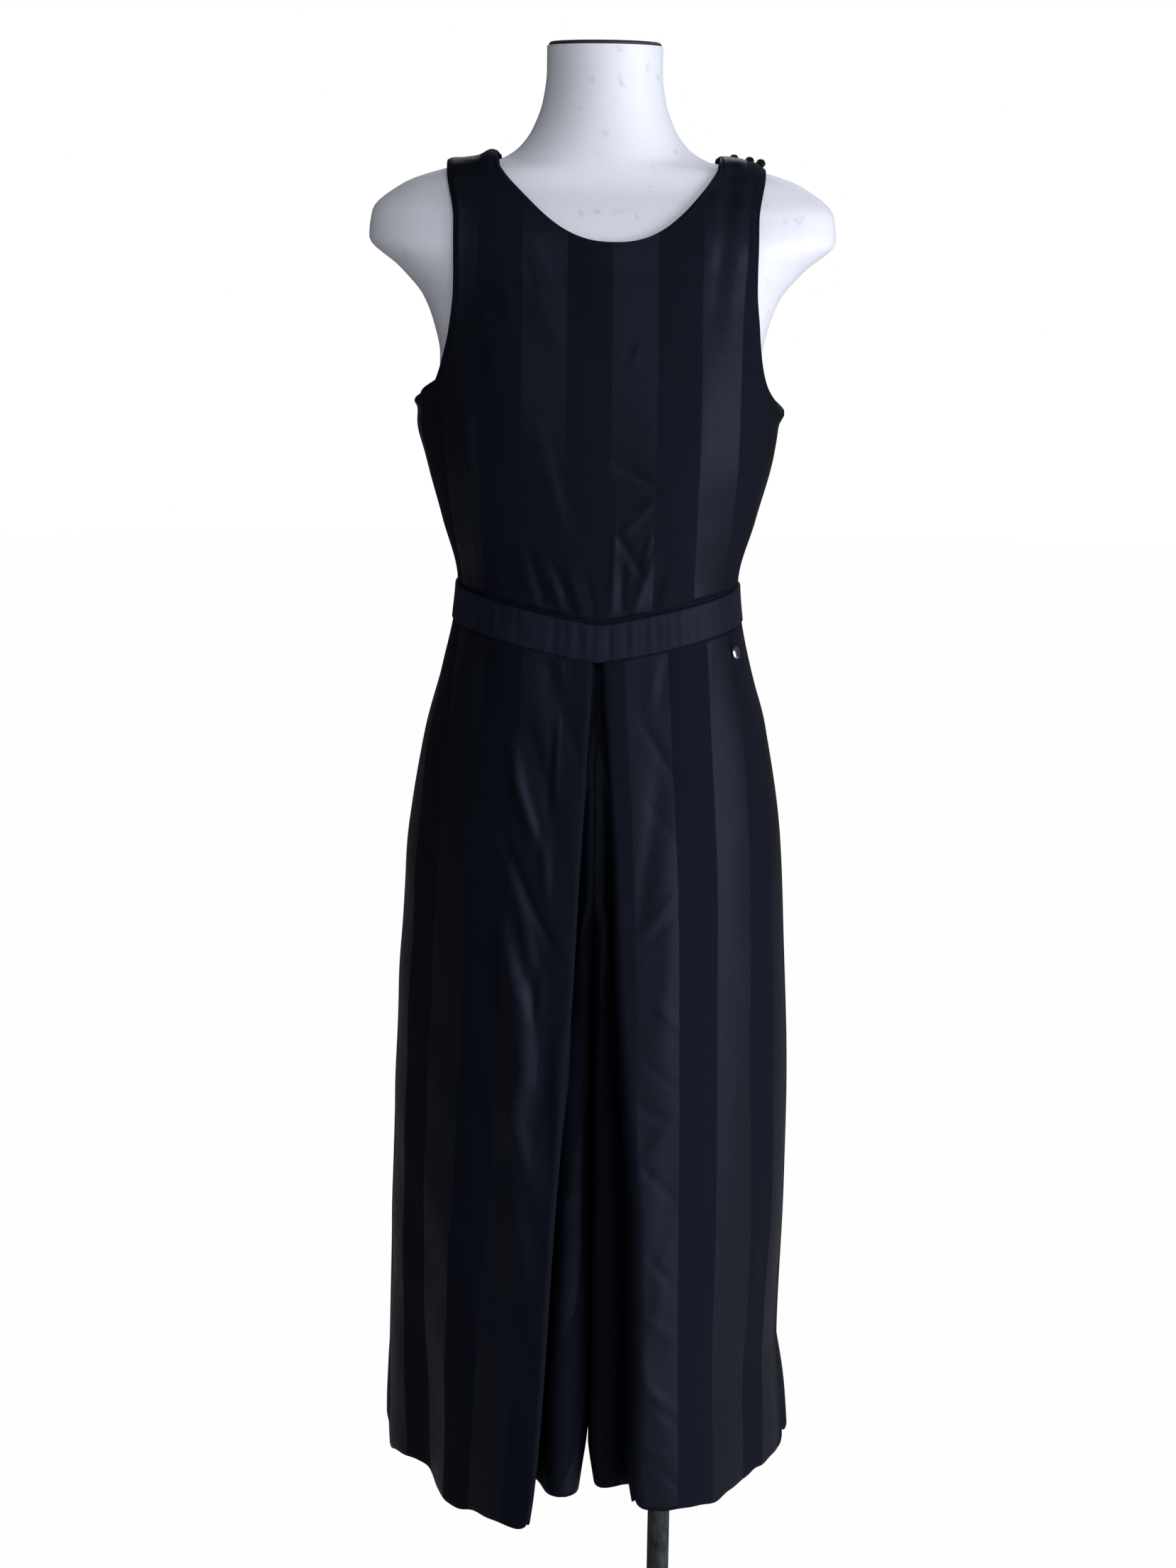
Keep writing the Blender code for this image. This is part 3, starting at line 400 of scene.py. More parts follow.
def crease_depth(first, second, rows):
    """Sum of the creases at places given by two coordinates on the cloth."""
    total = np.zeros(first.shape)
    for x0, z0, x1, z1, width, depth in rows:
        run = math.hypot(x1 - x0, z1 - z0)
        along = ((first - x0) * (x1 - x0) + (second - z0) * (z1 - z0)) / run
        aside = ((first - x0) * (z1 - z0) - (second - z0) * (x1 - x0)) / run
        share = np.clip(along / run, 0.0, 1.0)
        beyond = along - share * run
        fade = np.sin(np.pi * (CREASE_TIP + CREASE_BODY * share)) ** CREASE_FADE
        total += depth * fade * np.exp(-(aside / width) ** 2 - (beyond / (CREASE_END_ROUND * width)) ** 2)
    return total


trial = crease_depth(np.array(0.0), np.array(0.5), ((0.0, 0.0, 0.0, 1.0, 0.1, 0.002),))
print("depth in the middle of a 2 mm crease:", round(float(trial), 5))

# %% [markdown]
# ## Slow waves
# A hanging panel is never quite flat even where nothing creases it. A few long, shallow waves of
# different pitch and heading, added together, keep it from looking pressed.

# %% Slow waves
WAVE_COUNT = 4
WAVE_PITCH, WAVE_PITCH_STEP = 0.045, 0.021


def slow_waves(first, second, seed, size):
    """A few long, shallow waves of about the given size; the seed sets their headings."""
    total = np.zeros(first.shape)
    for number in range(1, WAVE_COUNT + 1):
        # an odd turn for each wave, so that no two run the same way
        turn = seed * 1.7 + number * 2.4
        pitch = WAVE_PITCH + WAVE_PITCH_STEP * number
        heading = first * math.cos(turn * 0.35) * 1.6 + second * math.sin(turn * 0.6) * 0.5
        total += np.sin(heading / pitch * 2 * math.pi + turn) / number
    return total * size


print("wave pitches:", [round(WAVE_PITCH + WAVE_PITCH_STEP * n, 3) for n in range(1, WAVE_COUNT + 1)])

# %% [markdown]
# ## Creases of the bodice
# The front has fine gathers that fan up from the waist seam, a zigzag beside the middle, and
# pulls from the straps and the underarms. Each is a row with sizes of its own. The
# back gets quieter ones of the same kind.

# %% Crease tables of the bodice
BODICE_CREASES = (
    # x0, z0, x1, z1, width, depth, in metres from the body's middle
    (0.034, 1.364, 0.028, 1.346, 0.0032, 0.0009),
    (0.026, 1.366, 0.021, 1.350, 0.0045, -0.0007),
    (0.008, 1.338, 0.043, 1.330, 0.0030, -0.0008),
    (0.010, 1.264, 0.052, 1.238, 0.0030, -0.0010),
    (0.052, 1.232, 0.018, 1.196, 0.0038, 0.0012),
    (0.014, 1.200, 0.040, 1.158, 0.0040, -0.0015),
    (0.050, 1.180, 0.030, 1.124, 0.0046, 0.0017),
    (0.062, 1.176, 0.046, 1.124, 0.0050, -0.0012),
    (0.014, 1.206, 0.012, 1.122, 0.0030, 0.0011),
    (0.022, 1.170, 0.021, 1.122, 0.0036, -0.0012),
    (-0.070, 1.184, -0.056, 1.130, 0.0040, 0.0015),
    (-0.061, 1.178, -0.047, 1.130, 0.0040, -0.0012),
    (-0.050, 1.174, -0.030, 1.124, 0.0042, 0.0017),
    (-0.038, 1.166, -0.021, 1.122, 0.0036, -0.0013),
    (-0.026, 1.164, -0.012, 1.122, 0.0034, 0.0013),
    (-0.012, 1.160, -0.002, 1.120, 0.0040, -0.0014),
    (-0.065, 1.424, -0.030, 1.352, 0.0120, 0.0016),
    (-0.052, 1.284, -0.032, 1.206, 0.0060, 0.0011),
    (-0.040, 1.262, -0.020, 1.205, 0.0080, -0.0009),
    (-0.088, 1.430, -0.080, 1.376, 0.0070, 0.0010),
    (-0.104, 1.390, -0.092, 1.330, 0.0080, 0.0012),
    (-0.117, 1.290, -0.106, 1.146, 0.0050, 0.0030),
    (-0.126, 1.285, -0.117, 1.146, 0.0050, -0.0022),
    (-0.135, 1.330, -0.125, 1.185, 0.0030, -0.0016),
    (0.135, 1.318, 0.136, 1.212, 0.0030, -0.0014),
    (0.128, 1.300, 0.127, 1.220, 0.0080, 0.0014),
    (0.1125, 1.520, 0.0990, 1.390, 0.0070, -0.0022),
    (0.1040, 1.515, 0.0940, 1.440, 0.0070, 0.0008),
    (0.1230, 1.490, 0.1120, 1.372, 0.0080, 0.0011),
    (-0.1370, 1.505, -0.1340, 1.410, 0.0130, 0.0034),
    (-0.159, 1.245, -0.132, 1.257, 0.0016, -0.0010),
    (0.159, 1.246, 0.1195, 1.276, 0.0016, -0.0010),
    (0.090, 1.330, 0.082, 1.240, 0.0150, 0.0014),
    (-0.010, 1.420, -0.014, 1.330, 0.0160, 0.0010),
    (0.004, 1.250, 0.030, 1.246, 0.0026, 0.0007),
    (-0.072, 1.440, -0.058, 1.410, 0.0045, -0.0010),
    (-0.060, 1.446, -0.034, 1.396, 0.0050, 0.0009),
    (0.046, 1.196, 0.040, 1.170, 0.0030, 0.0009),
    (0.064, 1.160, 0.056, 1.124, 0.0036, 0.0010),
    (0.076, 1.156, 0.070, 1.126, 0.0040, -0.0009),
    (-0.084, 1.168, -0.076, 1.132, 0.0040, -0.0009),
    (0.000, 1.300, 0.016, 1.286, 0.0040, 0.0005),
    (-0.020, 1.236, 0.000, 1.222, 0.0045, 0.0006),
)

BACK_BODICE_CREASES = (
    (0.020, 1.190, 0.012, 1.145, 0.0050, 0.0022),
    (0.034, 1.200, 0.026, 1.146, 0.0060, -0.0020),
    (-0.018, 1.196, -0.010, 1.146, 0.0050, 0.0020),
    (-0.034, 1.180, -0.030, 1.146, 0.0050, -0.0018),
    (-0.050, 1.190, -0.044, 1.146, 0.0050, 0.0020),
    (0.056, 1.184, 0.050, 1.146, 0.0050, 0.0020),
    (-0.100, 1.400, -0.060, 1.310, 0.0140, 0.0016),
    (0.104, 1.390, 0.066, 1.300, 0.0130, 0.0014),
    (-0.030, 1.260, 0.040, 1.240, 0.0090, -0.0018),
    (-0.050, 1.236, 0.020, 1.214, 0.0080, 0.0016),
    (0.112, 1.280, 0.100, 1.150, 0.0060, 0.0022),
    (-0.114, 1.276, -0.102, 1.150, 0.0060, 0.0020),
)
print("bodice creases:", len(BODICE_CREASES) + len(BACK_BODICE_CREASES))

# %% [markdown]
# ## Striped cloth
# The cloth is one black yarn woven two ways: matt twill and satin, in broad stripes. Both are
# almost the same black, and it is the smoother weave that catches the light. So one material
# reads a stripe number from the cloth's own map, and mixes two dark colours and two roughnesses.
# A map unit is one pair of stripes. A colour ramp with hard stops draws the stripes' edges.

# %% Stripe ramp
STRIPE_PAIR = 0.0792
MATT_STRIPE, SATIN_STRIPE = 1.0, 0.0
EDGE_STOPS = (
    (0.0, (MATT_STRIPE + SATIN_STRIPE) / 2),
    (0.006, MATT_STRIPE),
    (0.494, MATT_STRIPE),
    (0.506, SATIN_STRIPE),
    (0.994, SATIN_STRIPE),
    (1.0, (MATT_STRIPE + SATIN_STRIPE) / 2),
)


def ramp(made, stops):
    """Sets the stops of a colour ramp from places and greys."""
    band = made.color_ramp
    while len(band.elements) > 2:
        band.elements.remove(band.elements[-1])
    for number, (place, grey) in enumerate(stops):
        stop = band.elements[number] if number < 2 else band.elements.new(place)
        stop.position = place
        stop.color = (grey, grey, grey, 1.0)


print("a stripe is", round(STRIPE_PAIR / 2 * 1000, 1), "mm wide")

# %% [markdown]
# ## Weave and gloss
# Up close the cloth has fine twill lines and slubs, the thicker places of the yarn, which are
# added as bump. The gloss of a black weave is not white but bluish, and it is drawn out across
# the threads, so the shader's gloss is tinted and stretched along the map's own direction.

# %% Cloth material
MATT = (0.0036, 0.0042, 0.0082)
SATIN = (0.0032, 0.0039, 0.0070)
GLOSS_LEVEL = 0.24
GLOSS_TINT = (0.61, 0.69, 1.0, 1.0)
WEFT_GLOSS = 0.55
QUARTER_TURN = 0.25
SLUB_STRETCH = (170.0, 9.0, 1.0)
CLOUD_SCALE = 5.0
UNEVEN_RANGE = (0.6, 1.4)
WEAR = 0.12
THREAD_HEIGHT = 0.0003


def striped_cloth(name, matt, satin, rough_matt, rough_satin, streak):
    """Cloth in two weaves, each with its colour and roughness; streak is how uneven its dye is."""
    surface, shader, make, links = new_finish(name)
    place = make("ShaderNodeUVMap", uv_map="cloth")
    parts = make("ShaderNodeSeparateXYZ", {0: place.outputs[0]})
    number = make("ShaderNodeMath", {0: parts.outputs["X"]}, operation="FRACT")
    stripe = make("ShaderNodeValToRGB", {0: number.outputs[0]})
    ramp(stripe, EDGE_STOPS)

    long_way = make("ShaderNodeVectorMath", {0: place.outputs[0], 1: SLUB_STRETCH}, operation="MULTIPLY")
    slub = make("ShaderNodeTexNoise", {"Vector": long_way.outputs[0], "Scale": 1.0, "Detail": 3.0})
    cloud = make("ShaderNodeTexNoise", {"Vector": place.outputs[0], "Scale": CLOUD_SCALE, "Detail": 2.0})
    twill = make(
        "ShaderNodeTexWave",
        {
            "Vector": place.outputs[0],
            "Scale": 20.0,
            "Distortion": 0.6,
            "Detail": 1.0,
            "Detail Scale": 6.0,
        },
        bands_direction="DIAGONAL",
    )

    colour = make(
        "ShaderNodeMix", {0: stripe.outputs[0], 6: (*matt, 1.0), 7: (*satin, 1.0)}, data_type="RGBA"
    )
    uneven = make("ShaderNodeMath", {0: slub.outputs["Fac"], 1: cloud.outputs["Fac"]}, operation="ADD")
    gain = make(
        "ShaderNodeMapRange",
        {
            "Value": uneven.outputs[0],
            "From Min": UNEVEN_RANGE[0],
            "From Max": UNEVEN_RANGE[1],
            "To Min": 1 - streak,
            "To Max": 1 + streak,
        },
    )
    shade = make("ShaderNodeVectorMath", {0: colour.outputs[2], "Scale": gain.outputs[0]}, operation="SCALE")
    links.new(shade.outputs[0], shader.inputs["Base Color"])

    rough = make(
        "ShaderNodeMapRange", {"Value": stripe.outputs[0], "To Min": rough_matt, "To Max": rough_satin}
    )
    wear = make("ShaderNodeMath", {0: cloud.outputs["Fac"], 1: WEAR, 2: -WEAR / 2}, operation="MULTIPLY_ADD")
    total = make("ShaderNodeMath", {0: rough.outputs[0], 1: wear.outputs[0]}, operation="ADD")
    links.new(total.outputs[0], shader.inputs["Roughness"])

    thread = make("ShaderNodeMath", {0: slub.outputs["Fac"], 1: twill.outputs["Fac"]}, operation="ADD")
    bump = make("ShaderNodeBump", {"Strength": 0.5, "Distance": THREAD_HEIGHT, "Height": thread.outputs[0]})
    links.new(bump.outputs[0], shader.inputs["Normal"])

    shader.inputs["Specular IOR Level"].default_value = GLOSS_LEVEL
    shader.inputs["Specular Tint"].default_value = GLOSS_TINT
    shader.inputs["Anisotropic"].default_value = WEFT_GLOSS
    shader.inputs["Anisotropic Rotation"].default_value = QUARTER_TURN
    weft = make("ShaderNodeTangent", direction_type="UV_MAP", uv_map="cloth")
    links.new(weft.outputs[0], shader.inputs["Tangent"])
    return surface


STRIPED = striped_cloth("striped_twill", MATT, SATIN, rough_matt=0.95, rough_satin=0.46, streak=0.16)
print("material:", STRIPED.name)

# %% [markdown]
# ## A finished piece
# Every new piece ends in the same way: its bmesh becomes a mesh with one material, smooth but
# for real edges, and it is told which body it rides on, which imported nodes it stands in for, and
# which finish it wears.

# %% Piece helper
ROUNDED, ALL_SMOOTH = 60, 180


def finish_piece(name, bm, surface, nodes=(), smooth_angle=ROUNDED):
    """Turns a bmesh into a piece of the object that rides on the root body."""
    mesh = bpy.data.meshes.new(name)
    bm.to_mesh(mesh)
    bm.free()
    mesh.materials.append(surface)
    mesh.shade_smooth()
    mesh.set_sharp_from_angle(angle=math.radians(smooth_angle))
    piece = bpy.data.objects.new(name, mesh)
    bpy.context.scene.collection.objects.link(piece)
    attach(piece, "root")
    if nodes:
        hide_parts(*nodes)
    return piece


print("piece helper: finish_piece")

# %% [markdown]
# ## The flat cut
# A maker needs each piece's size before it was hung. A grid of points gives it: the longest row
# is the width, the longest column is the length, and its cells' areas add up to the cloth used.
# The same steps between points also give the normals, which say which way is out.

# %% Grid measures
def grid_normals(middle):
    """Unit normals of a grid of points, from the steps along its rows and columns."""
    along = np.gradient(middle, axis=1)
    up = np.gradient(middle, axis=0)
    normals = np.cross(along, up)
    return normals / np.maximum(np.linalg.norm(normals, axis=2, keepdims=True), 1e-12)


def flat_cut(middle):
    """Width and length of the cloth in a grid of points, and its area."""
    width = float(np.linalg.norm(np.diff(middle, axis=1), axis=2).sum(axis=1).max())
    length = float(np.linalg.norm(np.diff(middle, axis=0), axis=2).sum(axis=0).max())
    upper_left = np.cross(middle[1:, :-1] - middle[:-1, :-1], middle[:-1, 1:] - middle[:-1, :-1])
    lower_right = np.cross(middle[1:, :-1] - middle[1:, 1:], middle[:-1, 1:] - middle[1:, 1:])
    halves = np.linalg.norm(upper_left, axis=2) + np.linalg.norm(lower_right, axis=2)
    return (width, length), min(float(halves.sum() / 2), width * length)


square = np.dstack((*np.meshgrid((0.0, 0.5, 1.0), (0.0, 1.0, 2.0)), np.zeros((3, 3))))
print("flat cut of a 1 x 2 rectangle:", flat_cut(square))

# %% [markdown]
# ## From a grid to a sheet of cloth
# Every cut piece starts as a flat grid, as cloth does. A function has already worked out where
# each of its points hangs, and the grid is moved there. The map that carries the stripes is
# filled in at the same time, and a Solidify modifier gives the cloth its thickness at the end, so
# that the hem and the armholes show a real edge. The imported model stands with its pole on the
# axis, and the form's middle is to one side of it.

# %% Sheet helper
CLOTH = 0.0015
POLE_OFFSET = 0.074


def sheet_piece(name, middle, marks, outward, surface, node, thickness=CLOTH):
    """A thin shell of cloth on a grid of points; marks are its map, outward its outer side."""
    rows, columns = middle.shape[:2]
    bm = bmesh.new()
    bmesh.ops.create_grid(bm, x_segments=columns - 1, y_segments=rows - 1, size=0.5)
    cloth_map = bm.loops.layers.uv.new("cloth")
    places = (middle - np.array((POLE_OFFSET, 0.0, 0.0))).reshape(-1, 3)
    marks = marks.reshape(-1, 2)
    bm.verts.index_update()
    for vert, place in zip(bm.verts, places):
        vert.co = place
    for face in bm.faces:
        for corner in face.loops:
            corner[cloth_map].uv = marks[corner.vert.index]
    bm.normal_update()
    bm.verts.ensure_lookup_table()
    probe = rows // 2 * columns + columns // 3
    if bm.verts[probe].normal.dot(Vector(outward.reshape(-1, 3)[probe])) < 0:
        bmesh.ops.reverse_faces(bm, faces=bm.faces[:])
    piece = finish_piece(name, bm, surface, (node,), ALL_SMOOTH)
    wall = piece.modifiers.new("cloth", "SOLIDIFY")
    wall.thickness = thickness
    wall.offset = 0.0
    size, area = flat_cut(middle)
    print(name, "cut", round(size[0], 3), "x", round(size[1], 3), "area", round(area, 4))
    return piece, size, area


print("cloth is", CLOTH * 1000, "mm thick")

# %% [markdown]
# ## The waist seams
# The bodice ends at the top of the waistband, and the trousers start at its foot. In front both
# seams dip to a blunt point at the middle, and at the back they are level. Each is a height at
# the side and a height at the point, and everything that meets there reads the same function.

# %% Waist seams
SEAM = 0.0003
WAIST_LINES = {"top": (1.142, 1.117), "foot": (1.108, 1.081)}
WAIST_POINT_ROUND = 0.004


def waist_line(face, line, share):
    """Height of a waist seam at a share of the half width; only the front dips to a point."""
    side, point = WAIST_LINES[line]
    if face == "back":
        return side + share * 0.0
    rounded = np.sqrt(share ** 2 + WAIST_POINT_ROUND) / math.sqrt(1 + WAIST_POINT_ROUND)
    return point + (side - point) * rounded


print("band at the point:", round(waist_line("front", "top", 0.0) - waist_line("front", "foot", 0.0), 4))

# %% [markdown]
# ## The bodice
# The front and back are each cut in one piece, with a round neck, cut-away armholes and straps
# that meet in a seam on the shoulder. The rows of the grid run from the waist seam up the side
# seam, round the armhole and over the shoulder. Its columns crowd towards the strap's corners,
# because the neckline curves most there.

# %% Columns and rows of the bodice
SHOULDER_SEAM_INNER = 0.096
SHOULDER_SEAM_OUTER = 0.140
STRAP_CORNER = SHOULDER_SEAM_INNER / SHOULDER_SEAM_OUTER
NECK_COLUMNS, STRAP_COLUMNS = 60, 28
NECK_CROWD = 2.1
EDGE_CROWD = 1.15
ARMPIT = 1.300
ARMPIT_RUN = 0.042
ROUND_RUN = 0.030
ROUND_CROWD = 1.9
SIDE_ROWS, ARMPIT_ROWS, ARMHOLE_ROWS, ROUND_ROWS = 44, 22, 34, 34


def bodice_spreads(level):
    """Column places from side to side at a level, with one on each inner corner of the straps."""
    even = np.linspace(0.0, 1.0, NECK_COLUMNS + 1)
    crowded = 1 - (1 - even) ** NECK_CROWD
    inner = STRAP_CORNER * (even + (crowded - even) * level ** 2)
    start = math.asin(STRAP_CORNER ** EDGE_CROWD)
    turn = start + (math.pi / 2 - start) * np.linspace(0.0, 1.0, STRAP_COLUMNS + 1)[1:]
    outer = np.sin(turn) ** (1 / EDGE_CROWD)
    half = np.concatenate((inner, outer))
    return np.concatenate((-half[:0:-1], half))


def bodice_levels():
    """Row places along the side seam, the armhole and the shoulder's round, from 0 to 1."""
    foot = WAIST_LINES["top"][0] + SEAM
    top = float(ridge_height(SHOULDER_SEAM_OUTER))
    upright_start = ARMPIT + ARMPIT_RUN
    upright = top - ROUND_RUN - upright_start
    heights = [foot + (ARMPIT - foot) * step / SIDE_ROWS for step in range(SIDE_ROWS)]
    heights += [ARMPIT + ARMPIT_RUN * (step / ARMPIT_ROWS) ** 2 for step in range(ARMPIT_ROWS)]
    heights += [upright_start + upright * step / ARMHOLE_ROWS for step in range(ARMHOLE_ROWS)]
    for step in range(ROUND_ROWS + 1):
        heights.append(top - ROUND_RUN * (1 - step / ROUND_ROWS) ** ROUND_CROWD)
    return (np.array(heights) - foot) / (top - foot)


print("bodice grid:", len(bodice_levels()), "rows,", len(bodice_spreads(0.0)), "columns")

# %% [markdown]
# ## Neckline and stripes
# The neckline is a smooth dip between the straps, and on the straps the panel ends at the top of
# the shoulder. Stripes are woven straight, so a stripe's place is a length along the cloth, not a
# distance across the body: on a rounded side it takes more cloth to go as far.

# %% Neckline and run of the cloth
NEAR = 1e-6
DRIFT_START, DRIFT_RUN = 1.32, 0.065
NECK_LOW = {"front": 1.449, "back": 1.495}
NECK_CURVE = 2.4
STRAP_STRIPE_HEIGHT = 1.44
ARC_STEPS = 24


def drifted(across, height):
    """Places across the panel, moved sideways with the upper bodice's drift."""
    return across + DRIFT.at("drift", across) * ease_in_out((height - DRIFT_START) / DRIFT_RUN)


def bodice_top(face, spread):
    """Top edge of a bodice panel: the neckline between the straps, the shoulder seam on them."""
    share = np.minimum(np.abs(spread) / STRAP_CORNER, 1.0)
    seam = np.where(share > 1 - NEAR, spread, np.copysign(STRAP_CORNER, spread))
    high = ridge_height(drifted(seam * SHOULDER_SEAM_OUTER, RIDGE_SEARCH[1]))
    return NECK_LOW[face] + (high - NECK_LOW[face]) * share ** NECK_CURVE


def run_round_body(face, across, height):
    """Length along the cloth from the body's middle, which is where a stripe really lies."""
    height = np.minimum(height, STRAP_STRIPE_HEIGHT)
    total = np.zeros(across.shape)
    last_x = np.zeros(across.shape)
    last_y = shell_depth(face, last_x, height)
    for step in range(1, ARC_STEPS + 1):
        x = across * step / ARC_STEPS
        y = shell_depth(face, x, height)
        total += np.hypot(x - last_x, y - last_y)
        last_x, last_y = x, y
    return total * np.sign(across)


half_run = run_round_body("front", np.array(0.14), np.array(ARMPIT))
print("cloth from the middle to 140 mm across:", round(float(half_run), 4))

# %% [markdown]
# ## What lifts the cloth
# Three things lift the bodice's cloth off its smooth surface: the creases, the ridge where a
# facing is stitched behind the neck and the armholes, and the thick layers of a seam. The
# shoulder seams stand up in bunches, and the corners under the arms stick out.

# %% Lifts of the bodice
EDGE_FADE = 0.006
BODICE_WAVES = 0.0005
FACING_EDGE, FACING_RIDGE, FACING_WIDTH = 0.006, 0.0005, 0.0022
SEAM_BULK = 0.011
SEAM_BULK_START = 0.97
# Where the thick shoulder seams stand up: place across, rise, width
SHOULDER_RISES = (
    (-0.1000, 0.0072, 0.0085),
    (-0.1180, 0.0042, 0.0150),
    (-0.1360, 0.0040, 0.0090),
    (0.1080, 0.0050, 0.0130),
    (0.1240, 0.0042, 0.0110),
    (0.1360, 0.0026, 0.0060),
)
# Where the underarm corners stick out: side, reach, height, spread
UNDERARM_CORNERS = (
    (1, 0.0046, 1.2975, 0.0065),
    (-1, 0.0080, 1.3100, 0.0075),
    (-1, 0.0040, 1.2840, 0.0200),
)
CORNER_START, CORNER_RUN = 0.9, 0.1


def bodice_lift(face, across, flat, edge, height, foot, top):
    """How far the cloth stands out: creases inside the panel, and the facing's ridge at its edge."""
    rows = BODICE_CREASES if face == "front" else BACK_BODICE_CREASES
    seed = 2 if face == "front" else 0
    fade = ease_in_out(np.minimum(height - foot, top - height) / EDGE_FADE)
    fade = fade * ease_in_out((edge - np.abs(flat)) / EDGE_FADE)
    lift = crease_depth(across, height, rows) + slow_waves(across, height, seed, BODICE_WAVES)
    lift = lift * fade
    hemmed = (height > ARMPIT) | (np.abs(flat) < SHOULDER_SEAM_INNER)
    from_edge = np.minimum(np.abs(edge - np.abs(flat)), top - height)
    return lift + FACING_RIDGE * np.exp(-((from_edge - FACING_EDGE) / FACING_WIDTH) ** 2) * hemmed


def bunch_seams(middle, across, height, top, spreads):
    """Raises the shoulder seams in bunches, and pushes the underarm corners out."""
    near = ease_in_out(1 - (top - height) / SEAM_BULK)
    near = near * (np.abs(spreads) > STRAP_CORNER * SEAM_BULK_START)
    for place, rise_up, width in SHOULDER_RISES:
        middle[:, :, 2] += rise_up * np.exp(-((across - place) / width) ** 2) * near
    for side, reach, corner, spread in UNDERARM_CORNERS:
        lobe = np.exp(-((height - corner) / spread) ** 2)
        lobe = lobe * ease_in_out((side * spreads - CORNER_START) / CORNER_RUN)
        middle[:, :, 0] += side * reach * lobe


print("seam bunches:", len(SHOULDER_RISES), "underarm corners:", len(UNDERARM_CORNERS))

# %% [markdown]
# ## The bodice panels
# Each point of the grid gets its height from its row and its place across from its column, and
# the surface gives the depth. The lifts move it out along the normal.

# %% Bodice panels
STRIPE_START = 0.0095


def bodice_grid(face):
    """Grid of a bodice panel, with its stripe map and its outward normals."""
    toward = -1 if face == "front" else 1
    levels = bodice_levels()[:, None]
    spreads = np.array([bodice_spreads(level) for level in levels[:, 0]])
    foot = waist_line(face, "top", np.abs(bodice_spreads(0.0))) + SEAM
    top = bodice_top(face, bodice_spreads(1.0))
    height = foot + (top - foot) * levels
    below = height <= ARMPIT + NEAR
    edge = np.where(below, shell_size("half_width", height), ARMHOLE.at("reach", height))
    flat = spreads * edge
    across = drifted(flat, height)
    depth = shell_depth(face, across, height) + SEAM / 2
    middle = np.dstack((across, toward * depth, height))
    run = run_round_body(face, across, height)
    marks = np.dstack(((run - STRIPE_START) / STRIPE_PAIR, height / STRIPE_PAIR))
    outward = grid_normals(middle) * -toward
    lift = bodice_lift(face, across, flat, edge, height, foot, top)
    middle = middle + outward * lift[..., None]
    bunch_seams(middle, across, height, top, spreads)
    return middle, marks, outward


for face in ("front", "back"):
    middle, marks, outward = bodice_grid(face)
    piece, flat, area = sheet_piece(
        "bodice_" + face, middle, marks, outward, STRIPED, face + "_bodice"
    )

# %% [markdown]
# ## The waistband's puckers
# The band is a double strip, set in so that it comes to a point at the front, and the bodice is
# eased onto it. The ease shows as fine upright puckers, close together but never alike. Waves of
# four pitches that drift and swell along the band, added up, give just that.

# %% Puckers
PUCKER_DEPTH = 0.00040
PUCKER_PITCHES = (0.0133, 0.0187, 0.0087, 0.0291)
PUCKER_DRIFT, DRIFT_PITCH = 1.6, 0.023
PUCKER_MEAN, PUCKER_SWELL = 0.6, 0.4
SWELL_PITCH, SWELL_PITCH_STEP = 0.019, 0.004
PUCKER_END = 0.004


def pucker_waves(run, toward):
    """Uneven waves along a run of gathered cloth, fading out at its two ends."""
    waves = np.zeros(run.shape)
    for number, pitch in enumerate(PUCKER_PITCHES, 1):
        # the odd phases keep the four waves out of step with one another
        drift = PUCKER_DRIFT * np.sin(run / DRIFT_PITCH + number * 2.1)
        slow = run / (SWELL_PITCH + SWELL_PITCH_STEP * number) + number * 1.9
        swell = PUCKER_MEAN + PUCKER_SWELL * np.sin(slow)
        turn = run / pitch * 2 * math.pi + drift + number * 1.3 * toward
        waves += swell * np.sin(turn) / number ** 0.5
    return waves * ease_in_out((run[-1] - np.abs(run)) / PUCKER_END)


print("puckers on a 0.4 m band: about", round(0.4 / PUCKER_PITCHES[0]))

# %% [markdown]
# ## The waistband and its strip
# A narrow folded strip of matt cloth is let into the band's upper seam. Band and strip both run
# round the waist on the bodice's own surface, so one function makes the grid of either: it takes
# the lines it lies between and how far it stands out.

# %% Band grid
BAND_COLUMNS = 420
SEWN_EDGE = 0.04
PUCKER_LEAN, LEAN_PITCH, LEAN_TURN = 0.25, 0.045, 1.5


